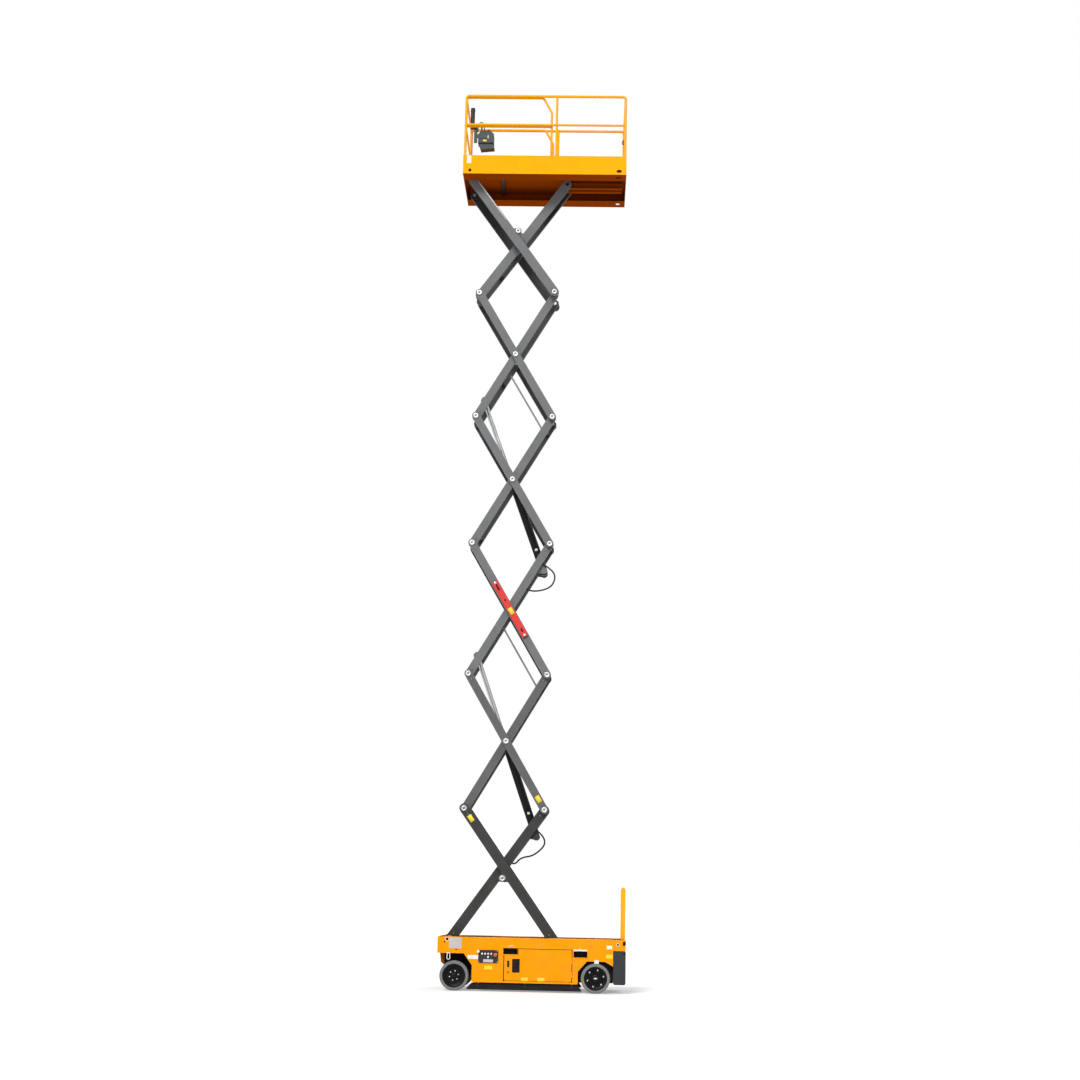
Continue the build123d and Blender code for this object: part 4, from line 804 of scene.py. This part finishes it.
def chassis_fittings():
    """Small parts of the chassis sides, the step box, the ladder's rungs and the guards' hinges."""
    def eyes(bm):
        for s in (-1, 1):
            for x, z, r in ((-1.114, 0.657, 0.018), (1.137, 0.628, 0.014)):
                ring(bm, (x, s * side_y, z), (0, s, 0), r, r + 0.008, 0.004)
    piece("tie_down_rings", "chassis", "zinc", eyes, 0.0008)

    def corners(bm):
        for s in (-1, 1):
            y0, y1 = sorted((s * 0.599, s * 0.606))
            block(bm, (1.200, y0, 0.620), (1.238, y1, 0.670))
            lathe(bm, (1.220, s * 0.596, 0.520), (0, s, 0), ((0.016, 0), (0.016, 0.005), (0.011, 0.007)), 20)
            lathe(bm, (-1.147, s * side_y, 0.620), (0, s, 0),
                  ((0.010, 0), (0.010, 0.004), (0.006, 0.006)), 16)
    piece("corner_fittings", "chassis", "black", corners, 0.002)

    def hooks(bm):
        for s in (-1, 1):
            shackle(bm, -1.090, 0.430, s)
    piece("lashing_shackles", "chassis", "white", hooks, 0.0)

    def handles(bm):
        inside, outside = 0.592, 0.604
        for s in (-1, 1):
            tube(bm, [(-0.300, s * inside, 0.556), (-0.300, s * outside, 0.582), (-0.235, s * outside, 0.588),
                      (-0.235, s * inside, 0.562)], 0.0045)
    piece("pocket_handles", "chassis", "white", handles, 0.0)

    def folds(bm):
        for s in (-1, 1):
            y = s * side_y
            for x0, x1, z0, z1 in ((-1.236, 1.236, 0.684, 0.6875), (-0.778, -0.776, 0.12, 0.47),
                                   (0.606, 0.610, 0.12, 0.27), (1.000, 1.004, 0.552, 0.568)):
                strip(bm, x0, x1, z0, z1, y, s * 0.0018, 0.0009)
            for x0, x1, z0, z1 in ((-0.379, -0.171, 0.470, 0.478), (0.549, 0.743, 0.446, 0.455)):
                strip(bm, x0, x1, z0, z1, y, s * 0.004, 0.002)
    piece("side_folds", "chassis", "orange", folds, 0.0007)

    def screws(bm):
        near = (0, -1, 0)
        for x, z in ((-1.075, 0.550), (-0.933, 0.550), (-1.075, 0.670), (-0.933, 0.670)):
            screw(bm, (x, -side_y - 0.003, z), near)
        for x in (-0.686, -0.447):
            for z in (0.371, 0.516):
                screw(bm, (x, -panel_y, z), near)
        for s in (-1, 1):
            for hinge_z in (0.235, 0.405):
                for dz in (-0.029, 0.029):
                    screw(bm, (0.556, s * 0.605, hinge_z + dz), (0, s, 0))
    piece("side_screws", "chassis", "zinc", screws, 0.0)

    def box_detail(bm):
        for s in (-1, 1):
            y = s * 0.596
            for z in (0.505, 0.150):
                side_plate(bm, 1.160, z, 0.130, 0.006, y, s * 0.002, 0.002)
            for x in (1.105, 1.214):
                bolt(bm, (x, y, 0.530), (0, s, 0), 0.006, 0.005)
    piece("step_box_trim", "chassis", "slate", box_detail, 0.0008)

    def treads(bm):
        for step_z in (0.160, 0.375):
            for k in range(9):
                y = -0.168 + 0.042 * k
                block(bm, (1.120, y - 0.004, step_z + 0.0005), (1.234, y + 0.004, step_z + 0.006))
    piece("step_treads", "chassis", "slate", treads, 0.001)

    def rungs(bm):
        for rung_z in (0.760, 1.000, 1.240):
            for k in range(17):
                y = -0.192 + 0.024 * k
                block(bm, (1.195, y - 0.003, rung_z + 0.013), (1.227, y + 0.003, rung_z + 0.0155))
    piece("rung_treads", "chassis", "amber", rungs, 0.0008)

    def plugs(bm):
        for s in (-1, 1):
            lathe(bm, (-1.20, s * 0.50, 0.688), (0, 0, 1), ((0.020, 0), (0.020, 0.006), (0.012, 0.008)), 20)
    piece("deck_plugs", "chassis", "black", plugs, 0.0)

    def guard_bolts(bm):
        for s in (-1, 1):
            for x in (-0.690, -0.073, 0.540):
                bolt(bm, (x, s * 0.575, 0.106), (0, s, 0), 0.006, 0.005)
    piece("guard_hinge_bolts", "chassis", "steel", guard_bolts, 0.0)


chassis_fittings()


def guard_trim(body, s):
    """The lower edge strip and bolts of a pothole guard on side s."""
    y = s * 0.565

    def edge(bm):
        side_plate(bm, -0.094, 0.031, 1.45, 0.012, y, s * 0.003, 0.004)
        for x in (-0.66, -0.30, 0.10, 0.46):
            bolt(bm, (x, y, 0.060), (0, s, 0), 0.006, 0.005)
    piece("guard_edge_" + body, body, "guard", edge, 0.001)


guard_trim("guard_near", -1)
guard_trim("guard_far", 1)


def foot_trim():
    """Hub caps of the lower rollers and the ears round the foot pin of the lowest inner arm."""
    def hubs(bm):
        for s in (-1, 1):
            lathe(bm, (slide_x, s * 0.380, base_z), (0, s, 0),
                  ((0.026, 0), (0.026, 0.004), (0.014, 0.006)), 24)
    piece("roller_hubs", "outer_1", "zinc", hubs, 0.0)

    def ears(bm):
        for s in (-1, 1):
            side_plate(bm, base_x, level[0], 0.090, 0.090, s * arm_face("inner_end"), s * 0.004, 0.044)
    piece("foot_ears", "inner_1", "orange", ears, 0.001)


foot_trim()


# ---------------- wheels
wheel_r = 0.1905
front_axle_x, rear_axle_x = -1.013, 0.847


def wheel_trim(tag, x, s, steered):
    """Tread, rim steps, nuts and hub of a wheel whose axle is at x, on side s."""
    body = "wheel_" + tag
    wall = s * side_y       # the tyre's outer side
    out = (0, s, 0)

    def tread(bm):
        """Raised lugs round the tyre and two bead rings on its outer side."""
        count, lug_r, half_lug = 40, 0.1895, 0.055
        for k in range(count):
            a = 2 * math.pi * k / count
            for y0, y1, twist in ((0.486, 0.534, 0.05), (0.540, 0.588, -0.05)):
                corners = [(x + lug_r * math.cos(a + da), s * y, wheel_r + lug_r * math.sin(a + da))
                           for y, da in ((y0, twist - half_lug), (y1, -half_lug), (y1, half_lug),
                                         (y0, half_lug + twist))]
                slab(bm, corners, Vector((math.cos(a), 0, math.sin(a))) * 0.0026)
        for r, high in ((0.181, 0.0016), (0.159, 0.002)):
            ring(bm, (x, wall - s * 0.0002, wheel_r), out, r - 0.002, r, high, 48)
    piece("tyre_tread_" + tag, body, "tyre", tread, 0.0006)

    def disc(bm):
        """The outer bead, and the step in a rear wheel's face."""
        ring(bm, (x, wall - s * 0.013, wheel_r), out, 0.138, 0.151, 0.008, 48)
        if not steered:
            ring(bm, (x, wall - s * 0.028, wheel_r), out, 0.086, 0.094, 0.006, 40)
    piece("rim_steps_" + tag, body, "rim", disc, 0.0015)

    def nuts(bm):
        count = 6
        r, depth = (0.058, 0.037) if steered else (0.108, 0.026)
        for k in range(count):
            a = 2 * math.pi * (k + 0.25) / count
            lathe(bm, (x + r * math.cos(a), wall - s * depth, wheel_r + r * math.sin(a)), out,
                  ((0.012, 0), (0.012, 0.004), (0.009, 0.005), (0.009, 0.014), (0.006, 0.018)), 6)
    piece("wheel_nuts_" + tag, body, "zinc", nuts, 0.0006)

    def hub(bm):
        profile = (((0.034, 0), (0.034, 0.014), (0.028, 0.020), (0.012, 0.022)) if steered else
                   ((0.052, 0), (0.052, 0.010), (0.044, 0.016), (0.020, 0.018)))
        lathe(bm, (x, wall - s * 0.036, wheel_r), out, profile, 28)
    piece("wheel_hub_" + tag, body, "black", hub, 0.001)
    if not steered:
        piece("hub_slot_" + tag, body, "white",
              lambda bm: side_plate(bm, x, wheel_r, 0.044, 0.018, wall - s * 0.018, s * 0.0015, 0.008), 0.0)


for tag, x, s, steered in (("front_near", front_axle_x, -1, True), ("front_far", front_axle_x, 1, True),
                           ("rear_near", rear_axle_x, -1, False), ("rear_far", rear_axle_x, 1, False)):
    wheel_trim(tag, x, s, steered)


# ---------------- platform
toe_z = top_z - 0.041           # lower edge of the toe board
deck_z = toe_z + 0.192
toe_top = toe_z + 0.283
rail_top = toe_z + 1.235
mid_rail = rail_top - 0.466
front_x0, rear_x1 = -1.230, 1.133
rail_y = 0.581
post_xs = (-1.207, 0.115, 1.111)
gate_y = 0.262


def lozenges(bm, x0, y0, pitch_y, columns, rows, z):
    """Raised tread: small lozenges turned one way and the other, 40 mm apart along X."""
    for i in range(columns):
        for j in range(rows):
            x, y = x0 + 0.040 * i, y0 + pitch_y * j
            turn = math.radians(45 if (i + j) % 2 else -45)
            c, w = math.cos(turn), math.sin(turn)
            slab(bm, [(x + px * c - py * w, y + px * w + py * c, z)
                      for px, py in ((-0.013, 0), (0, -0.004), (0.013, 0), (0, 0.004))], (0, 0, 0.0015))


def platform_trim():
    """Plates, grommets and folds of the toe board, deck parts, and the fittings of the rails and gate."""
    for name, s in (("blank_plate", -1), ("blank_plate_far", 1)):
        plates(name, "platform", "white", [(-1.175, -1.113, toe_z + 0.158, toe_z + 0.276)], s * side_y,
               0.0025)

    def grommets(bm):
        """Round at the front, oblong at the rear."""
        grommet_z, turns, r, half_straight = toe_z + 0.053, 24, 0.0175, 0.016
        for s in (-1, 1):
            ring(bm, (front_x0 + 0.102, s * side_y, grommet_z), (0, s, 0), 0.0142, 0.021, 0.003)
            outline = []
            for k in range(turns):
                a = 2 * math.pi * k / turns
                shift = half_straight if math.cos(a) > 0 else -half_straight
                outline.append((rear_x1 - 0.105 + (shift + r * math.cos(a)), s * (side_y + 0.001),
                                grommet_z + r * math.sin(a)))
            tube(bm, outline + outline[:1], 0.0035, 8)
    piece("toe_board_grommets", "platform", "black", grommets, 0.0)

    def folds(bm):
        for s in (-1, 1):
            for z in (toe_z + 0.004, toe_top - 0.004):
                side_plate(bm, (front_x0 + rear_x1) / 2, z, rear_x1 - front_x0 - 0.004, 0.006, s * side_y,
                           s * 0.002, 0.0025)
    piece("toe_board_folds", "platform", "amber", folds, 0.0008)

    def members(bm):
        top = deck_z - 0.0055
        block(bm, (0.306, -0.370, deck_z - 0.045), (0.378, -0.110, top))
        block(bm, (0.306, 0.110, deck_z - 0.045), (0.378, 0.370, top))
        block(bm, (-0.700, -0.560, deck_z - 0.040), (-0.660, 0.560, top))
    piece("deck_cross_members", "platform", "slate", members, 0.002)

    piece("deck_tread", "platform", "amber",
          lambda bm: lozenges(bm, 0.115, -0.560, 0.0386, 24, 30, deck_z + 0.0002), 0.0, False)

    def feet(bm):
        foot, foot_top = 0.021, toe_top + 0.008
        for s in (-1, 1):
            y = s * rail_y
            for x in post_xs:
                block(bm, (x - foot, y - 0.018, toe_top + 0.0005), (x + foot, y + 0.018, foot_top))
                lathe(bm, (x, y, foot_top), (0, 0, 1), ((0.0235, 0), (0.0235, 0.012), (0.020, 0.016)), 24)
            for z in (rail_top - 0.019, mid_rail):
                lathe(bm, (0.096, y, z), (1, 0, 0), ((0.0225, 0), (0.0225, 0.038)), 24)
    piece("rail_feet", "platform", "amber", feet, 0.001)

    def lock_pins(bm):
        pin_z = toe_top + 0.020
        for s in (-1, 1):
            for x in post_xs:
                tube(bm, [(x, s * 0.552, pin_z), (x, s * 0.6055, pin_z)], 0.0045)
                ring(bm, (x - 0.002, s * 0.6065, toe_top + 0.008), (0, s, 0), 0.009, 0.012, 0.002, 20)
    piece("rail_lock_pins", "platform", "zinc", lock_pins, 0.0)

    def latch(bm):
        y, x0, x1 = -gate_y, 1.072, 1.090
        block(bm, (1.086, y - 0.022, mid_rail - 0.150), (1.094, y + 0.022, mid_rail - 0.080))
        tube(bm, [(x1, y, mid_rail - 0.09), (x0, y, mid_rail - 0.10), (x0, y, mid_rail - 0.14),
                  (x1, y, mid_rail - 0.148)], 0.005)
    piece("gate_latch", "platform", "black", latch, 0.001)

    def plugs(bm):
        for s in (-1, 1):
            lathe(bm, (post_xs[-1], s * gate_y, rail_top - 0.053), (0, 0, 1),
                  ((0.0175, 0), (0.0175, 0.003), (0.010, 0.006)), 20)
    piece("post_plugs", "platform", "black", plugs, 0.0)

    def welds(bm):
        for s in (-1, 1):
            for x in post_xs:
                ring(bm, (x - 0.002, s * rail_y, mid_rail - 0.018), (0, 0, 1), 0.0185, 0.0215, 0.003, 20)
    piece("rail_welds", "platform", "amber", welds, 0.0008)


platform_trim()


def top_arm_trim():
    """Caps of the pin under the platform and the pale cable along the top outer arm."""
    def caps(bm):
        for s in (-1, 1):
            lathe(bm, (base_x, s * 0.374, top_z), (0, s, 0), ((0.030, 0), (0.030, 0.005), (0.024, 0.007)), 28)
    piece("top_pin_caps", "outer_6", "zinc", caps, 0.0)
    piece("top_pin_bolts", "outer_6", "black",
          lambda bm: [bolt(bm, (base_x, s * 0.381, top_z), (0, s, 0), 0.009, 0.006) for s in (-1, 1)], 0.0)

    def cable(bm):
        """It follows the arm's lower edge."""
        y = -(arm_face("outer_end") + 0.004)
        route = [arm_point(right_x, level[5], math.pi - end_slope, along, -0.048)
                 for along in (1.30, 1.55, 1.80, 2.02)]
        tube(bm, [(x, y, z) for x, z in route], 0.006)
    piece("top_arm_cable", "outer_6", "white", cable, 0.0)


top_arm_trim()


def control_trim():
    """Stick, switches, guard and labels of the control box, the holder's cap and the extension's tread."""
    top = mid_rail - 0.062      # the box's top
    face = -0.520               # and its near face
    up = (0, 0, 1)

    def stick(bm):
        stick_y, guard_y = -0.440, -0.50
        lathe(bm, (-0.985, stick_y, top), up,
              ((0.030, 0), (0.028, 0.010), (0.018, 0.026), (0.011, 0.034), (0.011, 0.070),
               (0.017, 0.080), (0.020, 0.105), (0.014, 0.122)), 24)
        for x in (-0.890, -0.850):
            lathe(bm, (x, stick_y, top), up,
                  ((0.012, 0), (0.012, 0.004), (0.004, 0.006), (0.004, 0.024), (0.006, 0.026)), 16)
        tube(bm, [(x, guard_y, top + dz) for x, dz in
                  ((-1.035, -0.02), (-1.030, 0.11), (-0.990, 0.135), (-0.945, 0.11), (-0.940, -0.02))], 0.007)
    piece("drive_stick", "extension", "plastic", stick, 0.0)
    piece("platform_stop", "extension", "red",
          lambda bm: lathe(bm, (-0.880, -0.475, top), up,
                           ((0.010, 0), (0.010, 0.012), (0.020, 0.016), (0.020, 0.024), (0.015, 0.028)), 28),
          0.0)
    plates("control_film", "extension", "grey", [(-0.985, -0.875, top - 0.125, top - 0.075)], face, film)
    plates("control_film_yellow", "extension", "yellow", [(-0.955, -0.905, top - 0.172, top - 0.145)],
           face, film)

    def seam(bm):
        side_plate(bm, -0.915, top - 0.190, 0.226, 0.004, face, -0.0016, 0.0015)
        for x in (-1.018, -0.812):
            lathe(bm, (x, face, top - 0.170), (0, -1, 0), ((0.006, 0), (0.006, 0.002), (0.004, 0.003)), 12)
    piece("control_seam", "extension", "plastic", seam, 0.0006)

    def holder_cap(bm):
        x, y = -1.117, -0.495
        lathe(bm, (x, y, mid_rail + 0.270), up, ((0.033, -0.004), (0.033, 0.016), (0.026, 0.022)), 28)
        for dz in (0.02, 0.24):
            ring(bm, (x, y, mid_rail + dz), up, 0.0312, 0.034, 0.012, 28)
    piece("holder_cap", "extension", "plastic", holder_cap, 0.001)

    piece("extension_tread", "extension", "amber",
          lambda bm: lozenges(bm, -1.200, -0.500, 0.040, 31, 26, deck_z + 0.0122), 0.0, False)


control_trim()


# ---------------- floor, world and lights
def seen_directly(nt):
    """1 for rays from the camera or through gloss and glass, which see the white backdrop; 0 for light."""
    rays = nt.nodes.new("ShaderNodeLightPath")
    seen = math_node(nt, "ADD", rays.outputs["Is Camera Ray"], rays.outputs["Is Glossy Ray"])
    return math_node(nt, "ADD", seen, rays.outputs["Is Transmission Ray"], clamp=True)


def floor():
    """A pale floor just under the wheels; it keeps the machine's shadow."""
    bm = bmesh.new()
    bmesh.ops.create_grid(bm, x_segments=4, y_segments=4, size=200)
    mesh = bpy.data.meshes.new("ground")
    bm.to_mesh(mesh)
    bm.free()
    obj = put("ground", mesh)
    obj.location = (0, 0, -0.002)
    m = bpy.data.materials.new("ground")
    nt = empty_tree(m)
    out = nt.nodes.new("ShaderNodeOutputMaterial")
    b = add(nt, "ShaderNodeBsdfPrincipled", Roughness=0.9)
    b.inputs["Base Color"].default_value = (0.80, 0.80, 0.80, 1)
    b.inputs["Specular IOR Level"].default_value = 0.0
    glow = nt.nodes.new("ShaderNodeEmission")
    nt.links.new(math_node(nt, "MULTIPLY", seen_directly(nt), 0.34), glow.inputs["Strength"])
    both = nt.nodes.new("ShaderNodeAddShader")
    nt.links.new(b.outputs[0], both.inputs[0])
    nt.links.new(glow.outputs[0], both.inputs[1])
    nt.links.new(both.outputs[0], out.inputs[0])
    mesh.materials.append(m)


floor()


def world():
    """White to the camera, and dimmer as a light."""
    w = bpy.data.worlds.new("world")
    bpy.context.scene.world = w
    nt = empty_tree(w)
    out = nt.nodes.new("ShaderNodeOutputWorld")
    lit = add(nt, "ShaderNodeBackground", Strength=0.42)
    lit.inputs["Color"].default_value = (1, 1, 1, 1)
    white = add(nt, "ShaderNodeBackground", Strength=1.0)
    white.inputs["Color"].default_value = (1, 1, 1, 1)
    mix = nt.nodes.new("ShaderNodeMixShader")
    nt.links.new(seen_directly(nt), mix.inputs["Fac"])
    nt.links.new(lit.outputs[0], mix.inputs[1])
    nt.links.new(white.outputs[0], mix.inputs[2])
    nt.links.new(mix.outputs[0], out.inputs[0])


world()


def sun(name, aside, high, energy, soft):
    """A sun that stands at a heading (degrees from -Y towards +X) and an elevation; soft is its angle."""
    light = bpy.data.lights.new(name, "SUN")
    light.energy = energy
    light.angle = soft
    obj = put(name, light)
    a, e = math.radians(aside), math.radians(high)
    to_sun = Vector((math.sin(a) * math.cos(e), -math.cos(a) * math.cos(e), math.sin(e)))
    obj.rotation_mode = "QUATERNION"
    obj.rotation_quaternion = to_sun.to_track_quat("Z", "Y")


sun("key", aside=-18, high=36, energy=2.3, soft=0.35)
sun("fill", aside=150, high=40, energy=0.6, soft=0.5)
